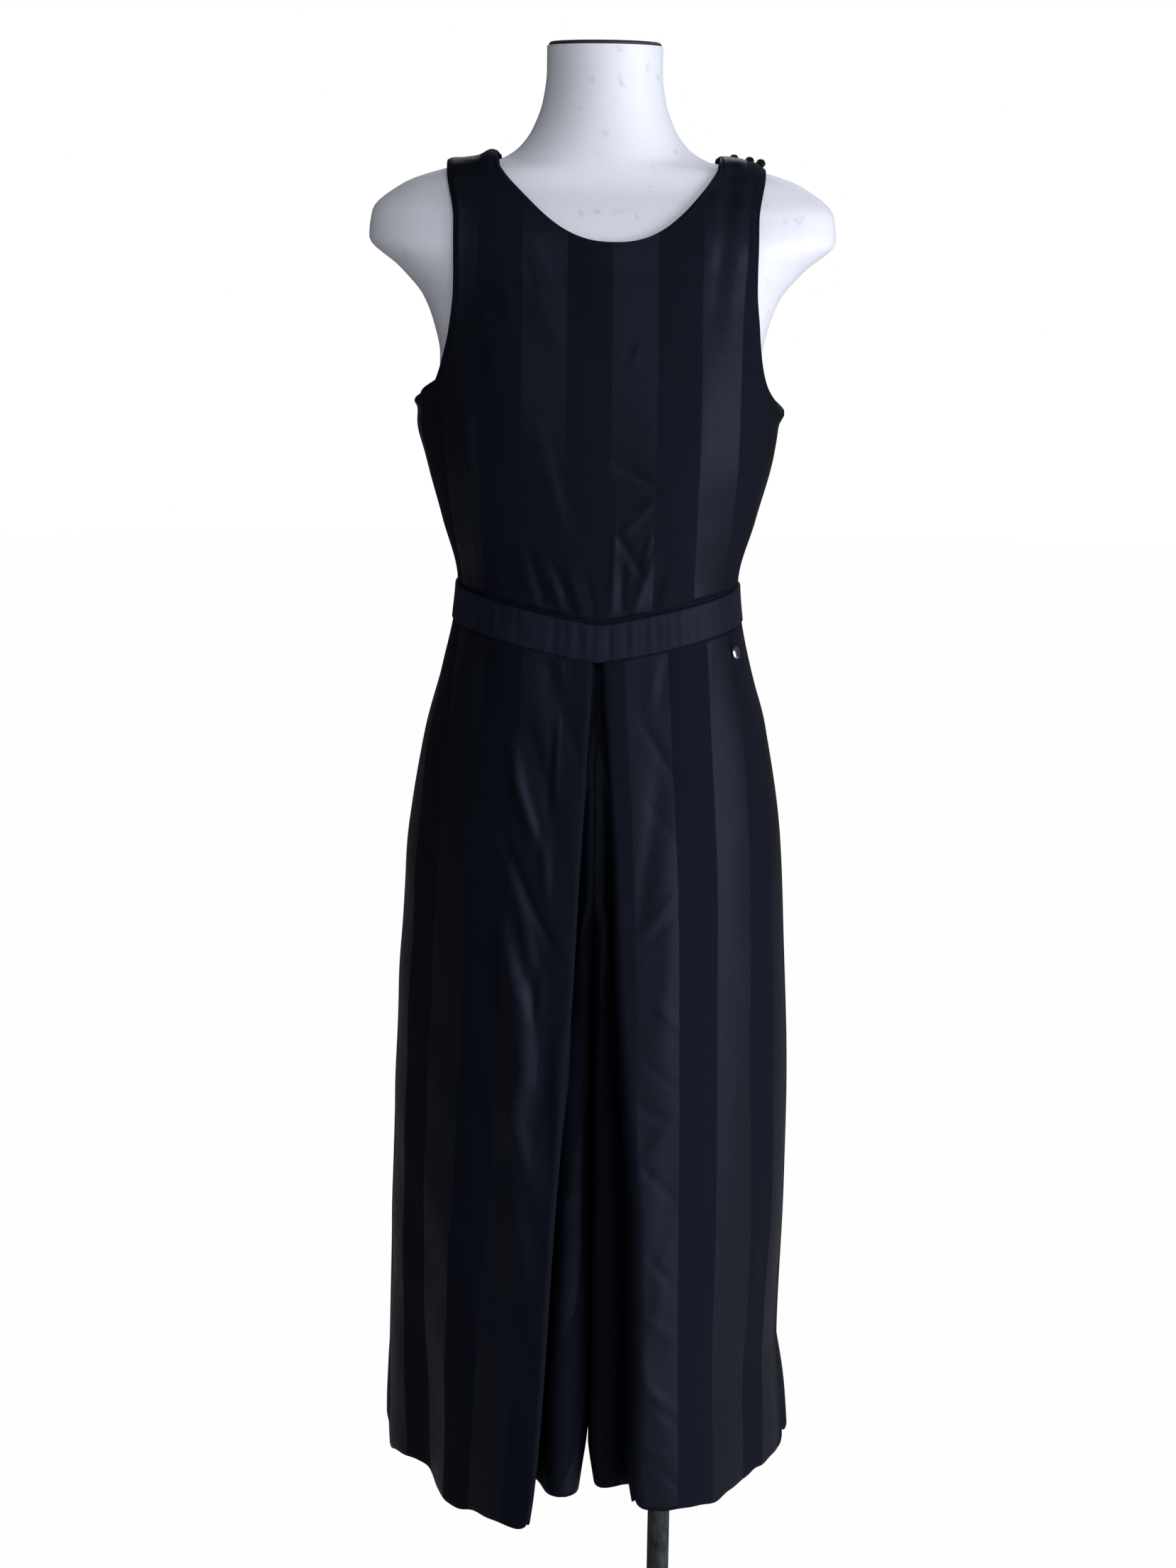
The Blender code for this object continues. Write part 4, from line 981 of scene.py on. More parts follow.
def band_grid(face, upper, lower, stand_out, rows, pucker):
    """Grid of a strip round half the waist, between two lines, standing out from the bodice."""
    toward = -1 if face == "front" else 1
    power = float(FORM.at("roundness", WAIST_LINES["top"][0]))
    turn = np.linspace(-math.pi / 2, math.pi / 2, BAND_COLUMNS + 1)
    share = np.sign(turn) * np.abs(np.sin(turn)) ** (2 / power)
    level = np.linspace(0.0, 1.0, rows + 1)[:, None]
    height = lower(np.abs(share)) * (1 - level) + upper(np.abs(share)) * level
    half = shell_size("half_width", height) + stand_out
    inside = np.maximum(0.0, 1 - np.abs(share) ** power) ** (1 / power)
    depth = (shell_size(face, height) + stand_out) * inside
    middle = np.dstack((half * share, toward * (depth + SEAM / 2), height))
    outward = grid_normals(middle) * -toward
    outward[:, :, 2] = 0.0
    outward /= np.linalg.norm(outward, axis=2, keepdims=True)
    steps = np.hypot(np.diff(middle[0, :, 0]), np.diff(middle[0, :, 1]))
    run = np.concatenate(([0.0], np.cumsum(steps)))
    run = run - run[-1] / 2
    shape = np.sin(np.pi * np.clip(level, SEWN_EDGE, 1 - SEWN_EDGE)) ** 0.5
    lean = 1 + PUCKER_LEAN * np.sin(run / LEAN_PITCH + level * LEAN_TURN)
    middle = middle + outward * (pucker * pucker_waves(run, toward) * shape * lean)[..., None]
    marks = np.dstack((np.broadcast_to(run, height.shape) / STRIPE_PAIR, height / STRIPE_PAIR))
    return middle, marks, outward


print("band grid columns:", BAND_COLUMNS + 1)

# %% [markdown]
# ## Sewing the band in
# The band laps a little over the strip and over the trousers' top, so that no gap opens between
# them. Its cloth lies crosswise to the light and shines more evenly than the panels do; that
# sheen is painted in, as colours lighter than the panels'.

# %% Waistband and strip
PIPING_HEIGHT = 0.005
BAND_OVERLAP = 0.0018
BAND_LAP = 0.0012
BAND_STAND_OUT, STRIP_STAND_OUT = 0.0018, -0.0002
BAND_CLOTH, STRIP_CLOTH = 0.0022, 0.0014
BAND_ROWS, STRIP_ROWS = 14, 6
STRIP_PUCKER_DEPTH = PUCKER_DEPTH * 0.3
# painted sheen: both band colours are about twice as light as the panels', standing for the crosswise
# satin's even gloss
SHEEN_PAINTED_BAND = striped_cloth(
    "waistband_painted_sheen", (0.0076, 0.0088, 0.0170), (0.0086, 0.0099, 0.0184),
    rough_matt=0.72, rough_satin=0.66, streak=0.25,
)
STRIP = striped_cloth(
    "strip_matt", (0.0026, 0.0031, 0.0070), (0.0030, 0.0036, 0.0078),
    rough_matt=0.90, rough_satin=0.85, streak=0.10,
)

for face in ("front", "back"):
    middle, marks, outward = band_grid(
        face,
        lambda share: waist_line(face, "top", share) - PIPING_HEIGHT - SEAM + BAND_OVERLAP,
        lambda share: waist_line(face, "foot", share) - BAND_LAP,
        BAND_STAND_OUT, BAND_ROWS, PUCKER_DEPTH,
    )
    piece, flat, area = sheet_piece(
        "waistband_" + face + "_band", middle, marks, outward, SHEEN_PAINTED_BAND,
        "waistband_" + face, BAND_CLOTH,
    )
    middle, marks, outward = band_grid(
        face,
        lambda share: waist_line(face, "top", share),
        lambda share: waist_line(face, "top", share) - PIPING_HEIGHT,
        STRIP_STAND_OUT, STRIP_ROWS, STRIP_PUCKER_DEPTH,
    )
    piece, flat, area = sheet_piece(
        "waist_strip_" + face, middle, marks, outward, STRIP,
        "waist_piping_" + face, STRIP_CLOTH,
    )

# %% [markdown]
# ## The trousers
# Each leg is a front and a back. The two fronts carry an inverted pleat at the middle: the face
# runs to a pressed edge, the cloth turns back under itself, and the underlay runs across to the
# seat seam. Higher up the edges meet, and lower down they part. One row of a leg's table holds
# the sizes of its plan section at one height. The two legs differ, because the wearer's right
# front hangs further out and its pleat stands more open.

# %% Leg tables
PLEAT_TOP_DEPTH = 0.008
LEG_COLUMNS = (
    "height", "half_width", "front", "back", "front_round", "back_round",
    "pleat_edge", "pleat_depth", "tuck",
)
LEG_RIGHT = Table(
    LEG_COLUMNS,
    (
        (0.260, 0.1955, 0.204, 0.138, 1.66, 2.50, 0.056, 0.118, 0.010),
        (0.310, 0.1970, 0.197, 0.137, 1.70, 2.45, 0.049, 0.109, 0.010),
        (0.400, 0.1950, 0.183, 0.135, 1.82, 2.30, 0.042, 0.096, 0.009),
        (0.550, 0.1915, 0.168, 0.132, 1.95, 2.15, 0.034, 0.079, 0.008),
        (0.700, 0.1865, 0.160, 0.130, 2.05, 2.10, 0.024, 0.060, 0.006),
        (0.800, 0.1815, 0.153, 0.132, 2.15, 2.15, 0.018, 0.048, 0.005),
        (0.900, 0.1750, 0.146, 0.138, 2.20, 2.20, 0.0135, 0.034, 0.003),
        (1.000, 0.1590, 0.128, 0.127, 2.25, 2.25, 0.0080, 0.018, 0.001),
        (1.058, 0.1435, 0.1135, 0.107, 2.30, 2.30, 0.0055, 0.010, 0.0),
        (1.085, 0.1370, 0.1060, 0.0975, 2.30, 2.30, 0.0050, PLEAT_TOP_DEPTH, 0.0),
        (1.115, 0.1312, 0.1000, 0.0925, 2.30, 2.30, 0.0050, PLEAT_TOP_DEPTH, 0.0),
    ),
)
LEG_LEFT = Table(
    LEG_COLUMNS,
    (
        (0.260, 0.1960, 0.155, 0.138, 2.20, 2.50, 0.047, 0.064, 0.008),
        (0.310, 0.1940, 0.156, 0.137, 2.15, 2.45, 0.040, 0.062, 0.008),
        (0.400, 0.1865, 0.158, 0.135, 2.05, 2.25, 0.039, 0.062, 0.008),
        (0.550, 0.1890, 0.158, 0.132, 2.00, 2.10, 0.036, 0.060, 0.007),
        (0.700, 0.1865, 0.155, 0.130, 2.05, 2.05, 0.026, 0.052, 0.006),
        (0.800, 0.1815, 0.151, 0.132, 2.15, 2.15, 0.020, 0.044, 0.005),
        (0.900, 0.1750, 0.146, 0.138, 2.20, 2.20, 0.0175, 0.033, 0.003),
        (1.000, 0.1590, 0.128, 0.127, 2.25, 2.25, 0.0110, 0.018, 0.001),
        (1.058, 0.1435, 0.1135, 0.107, 2.30, 2.30, 0.0065, 0.010, 0.0),
        (1.085, 0.1370, 0.1060, 0.0975, 2.30, 2.30, 0.0055, PLEAT_TOP_DEPTH, 0.0),
        (1.115, 0.1312, 0.1000, 0.0925, 2.30, 2.30, 0.0055, PLEAT_TOP_DEPTH, 0.0),
    ),
)
LEGS = {"left": (1, LEG_LEFT), "right": (-1, LEG_RIGHT)}
print("leg table rows:", len(LEG_RIGHT.keys) + len(LEG_LEFT.keys))

# %% [markdown]
# ## Lines in plan
# A plan section is a line in two dimensions. A few points placed by size are enough for it, if a
# smooth curve is then drawn through them. Every section of a panel needs the same number of
# points, evenly spaced, so that the sections stack up into a grid.

# %% Line helpers
LINE_STEPS = 12


def resample(points, count):
    """Spaces count + 1 points evenly along a polyline."""
    points = np.array(points)
    run = np.concatenate(([0.0], np.cumsum(np.linalg.norm(np.diff(points, axis=0), axis=1))))
    marks = np.linspace(0.0, run[-1], count + 1)
    return np.column_stack([np.interp(marks, run, points[:, axis]) for axis in range(2)])


def smooth_line(points):
    """Rounds a polyline into a curve through its points."""
    points = [np.array(point, dtype=float) for point in points]
    padded = [2 * points[0] - points[1], *points, 2 * points[-1] - points[-2]]
    line = []
    for before, here, there, after in zip(padded, padded[1:], padded[2:], padded[3:]):
        for step in range(LINE_STEPS):
            t = step / LINE_STEPS
            cubic = 2 * here + (there - before) * t
            cubic = cubic + (2 * before - 5 * here + 4 * there - after) * t * t
            cubic = cubic + (3 * here - before - 3 * there + after) * t ** 3
            line.append(cubic / 2)
    line.append(points[-1])
    return line


print("points on a smoothed corner:", len(smooth_line(((0, 0), (1, 0), (1, 1)))))

# %% [markdown]
# ## The inner leg
# Above the crotch the fronts and backs meet in the seat seam, whose depth follows a quarter oval.
# Below it the two inner legs hang against each other nearly down to the hem, where they part. An
# oval from the side seam inward is the outline of every face.

# %% Inner leg and oval
CROTCH = 0.785
CROTCH_Y = 0.020
RISE_START = 0.865
HEM = 0.272
LEG_GAP_START = 0.315
LEG_GAP_HEM = 0.0066
LEG_GAP_RUN = 0.010
OVAL_STEPS = 120


def rise(height, start_y):
    """Depth of the seat seam: a quarter oval from its upright start in to the crotch."""
    fallen = min(max((RISE_START - height) / (RISE_START - CROTCH), 0.0), 1.0)
    return CROTCH_Y + (start_y - CROTCH_Y) * math.sqrt(1 - fallen ** 2)


def run_place(run, height):
    """How far the inner leg's cloth stays from the body's middle plane."""
    away = SEAM / 2 + CLOTH / 2 * float(ease_in_out(run / LEG_GAP_RUN))
    return away + LEG_GAP_HEM * max(0.0, (LEG_GAP_START - height) / (LEG_GAP_START - HEM))


def oval_run(half_width, depth, power, stop_across):
    """Points of an oval from the side seam to the place where it is stop_across wide."""
    last = math.acos(min(1.0, (stop_across / half_width)) ** (power / 2))
    turn = last * np.linspace(0.0, 1.0, OVAL_STEPS + 1)
    across = half_width * np.cos(turn) ** (2 / power)
    return list(zip(across, depth * np.sin(turn) ** (2 / power)))


print("rise of the seat seam:", round(RISE_START - CROTCH, 3))

# %% [markdown]
# ## Sections of a front
# The pleat edge is pressed sharp on one leg and rolls softly on the other, so its radius is a
# size of its own. Behind it the cloth turns back, fills out and swings across to the middle.
# That line is drawn through a few points given as shares of the pleat's width and depth, which
# spread out as the pleat opens towards the foot.

# %% Front section
PLEAT_EDGE_RADIUS = 0.0025
PLEAT_EDGE_STEPS = 6
PLEAT_OPENING_RUN = 0.020
EDGE_ROLL = {"left": 0.0100, "right": 0.0}
ROLL_TOP, ROLL_RUN = 0.98, 0.34
UNDERLAY_SWELL, SWELL_START = 0.25, 0.02
UNDERLAY_BULGE = {"left": 0.0, "right": 0.33}
BULGE_START = 0.07
CENTRE_TURN = 0.006
SHORT_RUN = 0.002
RETURN_POINTS = 3


def pleat_edge_round(edge, face_y, radius):
    """Half of the pleat edge's round, from the face's end to its foremost line."""
    turns = [math.pi / 4 * step / PLEAT_EDGE_STEPS for step in range(1, PLEAT_EDGE_STEPS + 1)]
    return [
        (edge + radius - radius * math.sin(turn), face_y + radius * (1 - math.cos(turn)))
        for turn in turns
    ]


def front_section(leg, height):
    """Front panel's section: face to the pleat edge, pleat return, and underlay with its run."""
    sizes = {name: float(LEGS[leg][1].at(name, height)) for name in LEG_COLUMNS[1:]}
    edge, depth, tuck = sizes["pleat_edge"], sizes["pleat_depth"], sizes["tuck"]
    radius = PLEAT_EDGE_RADIUS + EDGE_ROLL[leg] * float(ease_in_out((ROLL_TOP - height) / ROLL_RUN))
    outline = oval_run(sizes["half_width"], sizes["front"], sizes["front_round"], edge + radius)
    face = [(across, -out) for across, out in outline]
    face_y = face[-1][1]
    face += pleat_edge_round(edge, face_y, radius)
    under_y = face_y + depth - UNDERLAY_SWELL * max(0.0, depth - SWELL_START)
    under_y -= UNDERLAY_BULGE[leg] * max(0.0, depth - BULGE_START)
    end_y = max(rise(height, under_y), under_y)
    run = end_y - under_y
    inner = run_place(run, height)
    turn = min(CENTRE_TURN, run)
    opened = float(ease_in_out((depth - PLEAT_TOP_DEPTH) / PLEAT_OPENING_RUN))
    behind = [
        # the pleat's return: its edge, just behind it, its hollow and its inner corner
        face[-1],
        (edge * (0.97 + 0.03 * opened), face_y + min(0.3 * depth, 2 * radius)),
        (edge * (0.86 + 0.14 * opened) + tuck * 0.7, face_y + (0.52 + 0.08 * opened) * depth),
        (edge * (0.62 + 0.33 * opened) + tuck * 0.5, face_y + (0.82 + 0.18 * opened) * depth),
        # the underlay: across towards the middle, and round into the run beside the other leg
        (inner + turn + (edge - inner - turn) * (0.3 + 0.15 * opened), under_y),
        (inner + turn * 0.6, under_y + turn * 0.2),
    ]
    if run > SHORT_RUN:
        behind.append((inner, under_y + max(turn, run * 0.3)))
    behind.append((inner, end_y if run > SHORT_RUN else under_y))
    behind = smooth_line(behind)
    corner = RETURN_POINTS * LINE_STEPS
    return face, behind[:corner + 1], behind[corner:]


parts = front_section("left", 0.5)
print("points on the face, the return and the underlay:", [len(part) for part in parts])

# %% [markdown]
# ## Sections of a back
# A back is simpler. Its face runs from the side seam round the seat, turns in towards the middle
# on a quarter circle, and goes forward to the seat seam or, below the crotch, to the inseam.

# %% Back section
BACK_TURN = 0.035
BACK_TURN_STEPS = 16


def back_section(leg, height):
    """Back panel's section: its face, and the rest round to the seat seam or the inseam."""
    sizes = {name: float(LEGS[leg][1].at(name, height)) for name in LEG_COLUMNS[1:]}
    depth = sizes["back"]
    end_y = rise(height, depth)
    run = depth - end_y
    inner = run_place(run, height)
    turn = min(BACK_TURN, run)
    line = oval_run(sizes["half_width"], depth, sizes["back_round"], inner + turn)
    last_y = line[-1][1]
    end_y = min(end_y, last_y)
    for step in range(1, BACK_TURN_STEPS + 1):
        angle = math.pi / 2 * step / BACK_TURN_STEPS
        line.append((inner + turn * (1 - math.sin(angle)), last_y - turn * (1 - math.cos(angle))))
    if line[-1][1] - end_y > NEAR:
        line.append((inner, end_y))
    turn_start = next(i for i, point in enumerate(line) if point[0] < inner + BACK_TURN + NEAR)
    return line[:turn_start + 1], line[turn_start:]


print("points on the back's face and inner part:", [len(part) for part in back_section("left", 0.5)])

# %% [markdown]
# ## Hanging folds
# Wide legs hang in a few large folds that grow towards the hem. Each is a row: which panel, where
# across it (0 at the side seam, 1 at the pleat edge or the seat seam), how deep, how wide, and
# the height at which it starts.

# %% Folds
FOLD_COLUMNS = ("panel", "leg", "across", "depth", "width", "top")
FOLDS = (
    ("front", "right", 0.38, -0.016, 0.17, 0.62),
    ("front", "left", 0.23, -0.011, 0.18, 0.60),
    ("front", "left", 0.45, -0.011, 0.19, 0.68),
    ("back", "right", 0.20, 0.006, 0.10, 0.45),
    ("back", "right", 0.30, 0.014, 0.12, 0.78),
    ("back", "right", 0.55, -0.010, 0.11, 0.85),
    ("back", "right", 0.80, 0.010, 0.10, 0.70),
    ("back", "left", 0.16, 0.007, 0.10, 0.42),
    ("back", "left", 0.26, 0.008, 0.12, 0.70),
    ("back", "left", 0.50, -0.010, 0.12, 0.85),
    ("back", "left", 0.76, 0.012, 0.11, 0.75),
)
FOLD_FADE = 0.08


def with_folds(section, panel, leg, height):
    """Moves a section's points outward by the large folds."""
    heading = np.gradient(section, axis=0)
    heading /= np.linalg.norm(heading, axis=1, keepdims=True)
    sign = 1 if panel == "front" else -1
    outward = np.column_stack((-heading[:, 1], heading[:, 0])) * sign
    places = np.linspace(0.0, 1.0, len(section))
    depths = np.zeros(len(section))
    for row in FOLDS:
        fold = dict(zip(FOLD_COLUMNS, row))
        if (fold["panel"], fold["leg"]) != (panel, leg):
            continue
        strength = float(ease_in_out((fold["top"] - height) / (fold["top"] - HEM)))
        depths += fold["depth"] * strength * np.exp(-((places - fold["across"]) / fold["width"]) ** 2)
    fade = np.clip(np.minimum(places, 1 - places) / FOLD_FADE, 0.0, 1.0)
    return section + outward * (depths * fade)[:, None]


print("large folds:", len(FOLDS))

# %% [markdown]
# ## One line for a panel
# Face, return and underlay are spaced each for itself, so that a column of the grid stays on the
# pleat edge from top to bottom. Only the face gets the hanging folds.

# %% Panel line
FACE_COLUMNS = {"front": 104, "back": 96}
RETURN_COLUMNS = 22
UNDER_COLUMNS = {"front": 44, "back": 34}


def trouser_line(face, leg, height):
    """Evenly spaced points of a panel's plan section at one height."""
    if face == "front":
        outside, behind, under = front_section(leg, height)
        inside = (resample(behind, RETURN_COLUMNS)[1:], resample(under, UNDER_COLUMNS[face])[1:])
    else:
        outside, inner = back_section(leg, height)
        inside = (resample(inner, UNDER_COLUMNS[face])[1:],)
    line = with_folds(resample(outside, FACE_COLUMNS[face]), face, leg, height)
    return np.vstack((line, *inside))


print("points in a front line:", len(trouser_line("front", "left", 0.5)))

# %% [markdown]
# ## Creases of the right front
# The wearer's right front has been folded for storage, and keeps a zigzag of soft slanting
# ridges down its middle. Their ends are given on the front as it is seen, across and up. The
# last two rows round the underlay inside the pleat, so that it catches a little light.

# %% Right front creases
RIGHT_FRONT_CREASES = (
    (-0.0760, 1.008, -0.0680, 0.968, 0.0062, 0.0040),
    (-0.0680, 0.974, -0.0545, 0.930, 0.0066, 0.0052),
    (-0.0640, 0.976, -0.0470, 0.926, 0.0034, -0.0016),
    (-0.0620, 1.030, -0.0480, 0.985, 0.0060, -0.0016),
    (-0.0480, 0.990, -0.0380, 0.940, 0.0050, -0.0012),
    (-0.0329, 1.030, -0.0351, 0.958, 0.0034, 0.0014),
    (-0.0395, 1.024, -0.0410, 0.962, 0.0036, -0.0012),
    (-0.0300, 1.034, -0.0085, 0.986, 0.0036, -0.0014),
    (-0.0335, 1.090, -0.0270, 1.052, 0.0048, 0.0015),
    (-0.0440, 1.086, -0.0400, 1.050, 0.0060, -0.0011),
    (-0.0461, 0.922, -0.0422, 0.876, 0.0044, 0.0020),
    (-0.0829, 0.934, -0.0735, 0.905, 0.0042, -0.0018),
    (-0.0735, 0.907, -0.0480, 0.850, 0.0040, -0.0022),
    (-0.0480, 0.852, -0.0380, 0.824, 0.0036, -0.0014),
    (-0.0775, 0.894, -0.0636, 0.853, 0.0058, 0.0032),
    (-0.0636, 0.856, -0.0546, 0.806, 0.0062, 0.0036),
    (-0.0492, 0.857, -0.0240, 0.808, 0.0034, -0.0013),
    (-0.0800, 0.838, -0.0700, 0.791, 0.0085, 0.0052),
    (-0.0640, 0.790, -0.0580, 0.756, 0.0060, 0.0020),
    (-0.0560, 0.800, -0.0500, 0.745, 0.0036, -0.0014),
    (-0.0448, 0.804, -0.0491, 0.758, 0.0034, 0.0012),
    (-0.0850, 0.800, -0.0720, 0.740, 0.0110, -0.0022),
    (-0.0735, 0.796, -0.0620, 0.712, 0.0120, 0.0104),
    (-0.0610, 0.718, -0.0720, 0.662, 0.0110, 0.0086),
    (-0.0710, 0.664, -0.0580, 0.610, 0.0100, 0.0072),
    (-0.0400, 0.752, -0.0430, 0.676, 0.0070, -0.0016),
    (-0.0780, 0.690, -0.0720, 0.610, 0.0085, -0.0020),
    (-0.0700, 0.600, -0.0600, 0.524, 0.0090, 0.0030),
    (-0.1130, 1.108, -0.1260, 1.050, 0.0070, 0.0016),
    (-0.1000, 1.106, -0.1060, 1.020, 0.0080, -0.0014),
    (-0.1180, 1.000, -0.1120, 0.900, 0.0130, 0.0010),
    (-0.0960, 0.640, -0.0900, 0.480, 0.0120, -0.0018),
    (-0.0300, 0.700, -0.0360, 0.560, 0.0070, -0.0010),
    (-0.0760, 0.420, -0.0860, 0.330, 0.0080, 0.0014),
    (-0.1300, 0.560, -0.1260, 0.400, 0.0100, 0.0012),
    (-0.1100, 0.420, -0.1040, 0.320, 0.0090, -0.0010),
    (-0.0190, 0.740, -0.0225, 0.560, 0.0085, 0.0200),
    (-0.0225, 0.560, -0.0260, 0.240, 0.0100, 0.0380),
)
print("right front creases:", len(RIGHT_FRONT_CREASES))

# %% [markdown]
# ## Creases of the left front
# The left front has a few longer creases from the hip, and below them a loose row of short,
# shallow ones down its first satin stripe, where the cloth was pressed in the same folds.

# %% Left front creases
LEFT_FRONT_CREASES = (
    (0.0410, 1.030, 0.0760, 0.972, 0.0045, -0.0013),
    (0.0569, 0.984, 0.0400, 0.845, 0.0085, -0.0017),
    (0.0740, 0.966, 0.0670, 0.860, 0.0120, 0.0011),
    (0.0430, 0.842, 0.0770, 0.882, 0.0040, 0.0011),
    (0.0500, 0.835, 0.0740, 0.858, 0.0045, -0.0010),
    (0.0500, 1.080, 0.0480, 1.046, 0.0050, 0.0011),
    (0.0630, 1.084, 0.0580, 1.050, 0.0050, -0.0010),
    (0.0720, 1.010, 0.0600, 0.990, 0.0040, 0.0007),
    (0.0460, 0.960, 0.0700, 0.930, 0.0038, -0.0007),
    (0.0700, 0.838, 0.0640, 0.742, 0.0100, 0.0014),
    (0.0560, 0.776, 0.0820, 0.748, 0.0045, 0.0008),
    (0.0480, 0.720, 0.0720, 0.700, 0.0042, -0.0008),
    (0.0350, 0.683, 0.0740, 0.662, 0.0040, -0.0010),
    (0.0740, 0.664, 0.0460, 0.621, 0.0048, 0.0009),
    (0.0460, 0.621, 0.0760, 0.590, 0.0038, -0.0010),
    (0.0620, 0.640, 0.0580, 0.570, 0.0100, 0.0011),
    (0.0800, 0.558, 0.0630, 0.520, 0.0042, 0.0009),
    (0.0560, 0.530, 0.0820, 0.496, 0.0036, -0.0010),
    (0.0720, 0.520, 0.0600, 0.460, 0.0080, 0.0011),
    (0.0480, 0.476, 0.0790, 0.448, 0.0034, 0.0009),
    (0.0700, 0.446, 0.0500, 0.424, 0.0036, -0.0008),
    (0.0545, 0.402, 0.0850, 0.374, 0.0036, 0.0010),
    (0.0580, 0.386, 0.0860, 0.360, 0.0034, -0.0009),
    (0.0500, 0.420, 0.0780, 0.350, 0.0090, 0.0014),
    (0.0600, 0.336, 0.0880, 0.326, 0.0032, 0.0008),
    (0.0700, 0.316, 0.0880, 0.296, 0.0032, -0.0009),
    (0.1260, 0.720, 0.1500, 0.690, 0.0050, 0.0006),
    (0.1040, 0.620, 0.1400, 0.596, 0.0050, 0.0006),
    (0.1200, 0.524, 0.1460, 0.506, 0.0030, 0.0007),
    (0.1240, 0.486, 0.1440, 0.468, 0.0026, -0.0008),
    (0.1320, 0.474, 0.1280, 0.434, 0.0038, -0.0008),
    (0.1200, 0.436, 0.1440, 0.420, 0.0028, 0.0008),
    (0.1280, 0.398, 0.1420, 0.384, 0.0026, -0.0008),
    (0.1260, 0.356, 0.1480, 0.344, 0.0028, 0.0008),
    (0.1380, 0.340, 0.1500, 0.350, 0.0030, -0.0008),
    (0.1280, 0.312, 0.1460, 0.318, 0.0026, 0.0007),
    (0.1600, 0.540, 0.1560, 0.420, 0.0090, 0.0016),
    (0.1700, 0.560, 0.1660, 0.440, 0.0070, -0.0014),
    (0.1180, 0.900, 0.1200, 0.760, 0.0140, 0.0009),
    (0.1000, 1.090, 0.0960, 1.030, 0.0060, 0.0010),
    (0.0980, 0.560, 0.0940, 0.400, 0.0120, -0.0010),
)
print("left front creases:", len(LEFT_FRONT_CREASES))

# %% [markdown]
# ## Creases of the backs
# The backs get quiet creases of the same kind, because cloth that hangs free creases there too.
# The first number is measured from the seat seam outward, as on the fronts.

# %% Back creases
BACK_CREASES = {
    "left": (
        (0.030, 1.070, 0.060, 1.000, 0.0080, -0.0020),
        (0.060, 0.960, 0.040, 0.860, 0.0090, 0.0024),
        (0.050, 0.850, 0.086, 0.800, 0.0070, -0.0022),
        (0.080, 0.740, 0.066, 0.600, 0.0110, 0.0024),
        (0.120, 0.700, 0.114, 0.560, 0.0100, -0.0020),
        (0.060, 0.520, 0.078, 0.420, 0.0090, 0.0018),
        (0.036, 0.780, 0.060, 0.740, 0.0060, 0.0020),
    ),
    "right": (
        (-0.034, 1.066, -0.058, 1.006, 0.0080, -0.0020),
        (-0.070, 0.950, -0.050, 0.850, 0.0090, 0.0022),
        (-0.044, 0.840, -0.084, 0.790, 0.0070, -0.0022),
        (-0.086, 0.720, -0.074, 0.590, 0.0110, 0.0024),
        (-0.124, 0.690, -0.116, 0.540, 0.0100, -0.0018),
        (-0.066, 0.500, -0.084, 0.400, 0.0090, 0.0018),
        (-0.040, 0.770, -0.064, 0.726, 0.0060, 0.0018),
    ),
}
LEG_CREASES = {
    ("front", "left"): LEFT_FRONT_CREASES,
    ("front", "right"): RIGHT_FRONT_CREASES,
    ("back", "left"): BACK_CREASES["left"],
    ("back", "right"): BACK_CREASES["right"],
}
print("leg creases:", sum(len(rows) for rows in LEG_CREASES.values()))

# %% [markdown]
# ## Stripes on the legs
# The stripe map is the length along the section, counted from the edge of the first satin stripe,
# whose place was judged at several heights. Where a leg widens towards its foot, the second satin
# stripe widens with it, because the panel is cut with a flare.

# %% Stripe places on the legs
# Where the first satin stripe starts, out from the middle of the body
STRIPE_EDGE = {
    "right": Table(
        ("height", "across"),
        (
            (0.27, 0.080),
            (0.30, 0.078),
            (0.46, 0.0675),
            (0.60, 0.0560),
            (0.735, 0.048),
            (0.90, 0.037),
            (1.056, 0.029),
            (1.11, 0.027),
        ),
    ),
    "left": Table(
        ("height", "across"),
        (
            (0.27, 0.049),
            (0.45, 0.046),
            (0.582, 0.044),
            (0.853, 0.0375),
            (1.057, 0.026),
            (1.11, 0.023),
        ),
    ),
}
# How much wider the second satin stripe hangs at the foot than at the hip
FLARE = {"left": 0.0105, "right": 0.0}
FLARE_TOP, FLARE_RUN = 0.74, 0.24


def section_runs(levels, sections):
    """Length of cloth along every section, from the side seam."""
    steps = np.linalg.norm(np.diff(sections, axis=1), axis=2)
    return np.concatenate((np.zeros((len(levels), 1)), np.cumsum(steps, axis=1)), axis=1)


def stripe_runs(face, leg, levels, sections):
    """Length along every section, from the first satin stripe's edge towards the side seam."""
    runs = section_runs(levels, sections)
    faces = FACE_COLUMNS[face] + 1
    start = STRIPE_EDGE[leg].at("across", levels)
    for row in range(len(levels)):
        across = sections[row, :faces, 0]
        runs[row] = np.interp(-start[row], -across, runs[row, :faces]) - runs[row]
    opened = FLARE[leg] * ease_in_out((FLARE_TOP - levels) / FLARE_RUN)[:, None]
    return runs - opened * ease_in_out(runs * 2 / STRIPE_PAIR - 2)


print("first satin stripe at the hip:", [float(STRIPE_EDGE[leg].at("across", 1.0).round(4)) for leg in LEGS])

# %% [markdown]
# ## The hem
# A cut hem is level, but it never hangs level. It waves with the folds, ripples where it was
# turned up, rises at the side seams, and rounds off at the pleat edge. Those are four small
# heights added to one.

# %% Hem
HEM_WAVE = 0.003
HEM_WAVES = 1.5
HEM_RIPPLES = ((0.118, 0.0013), (0.047, 0.0009), (0.029, 0.0005))
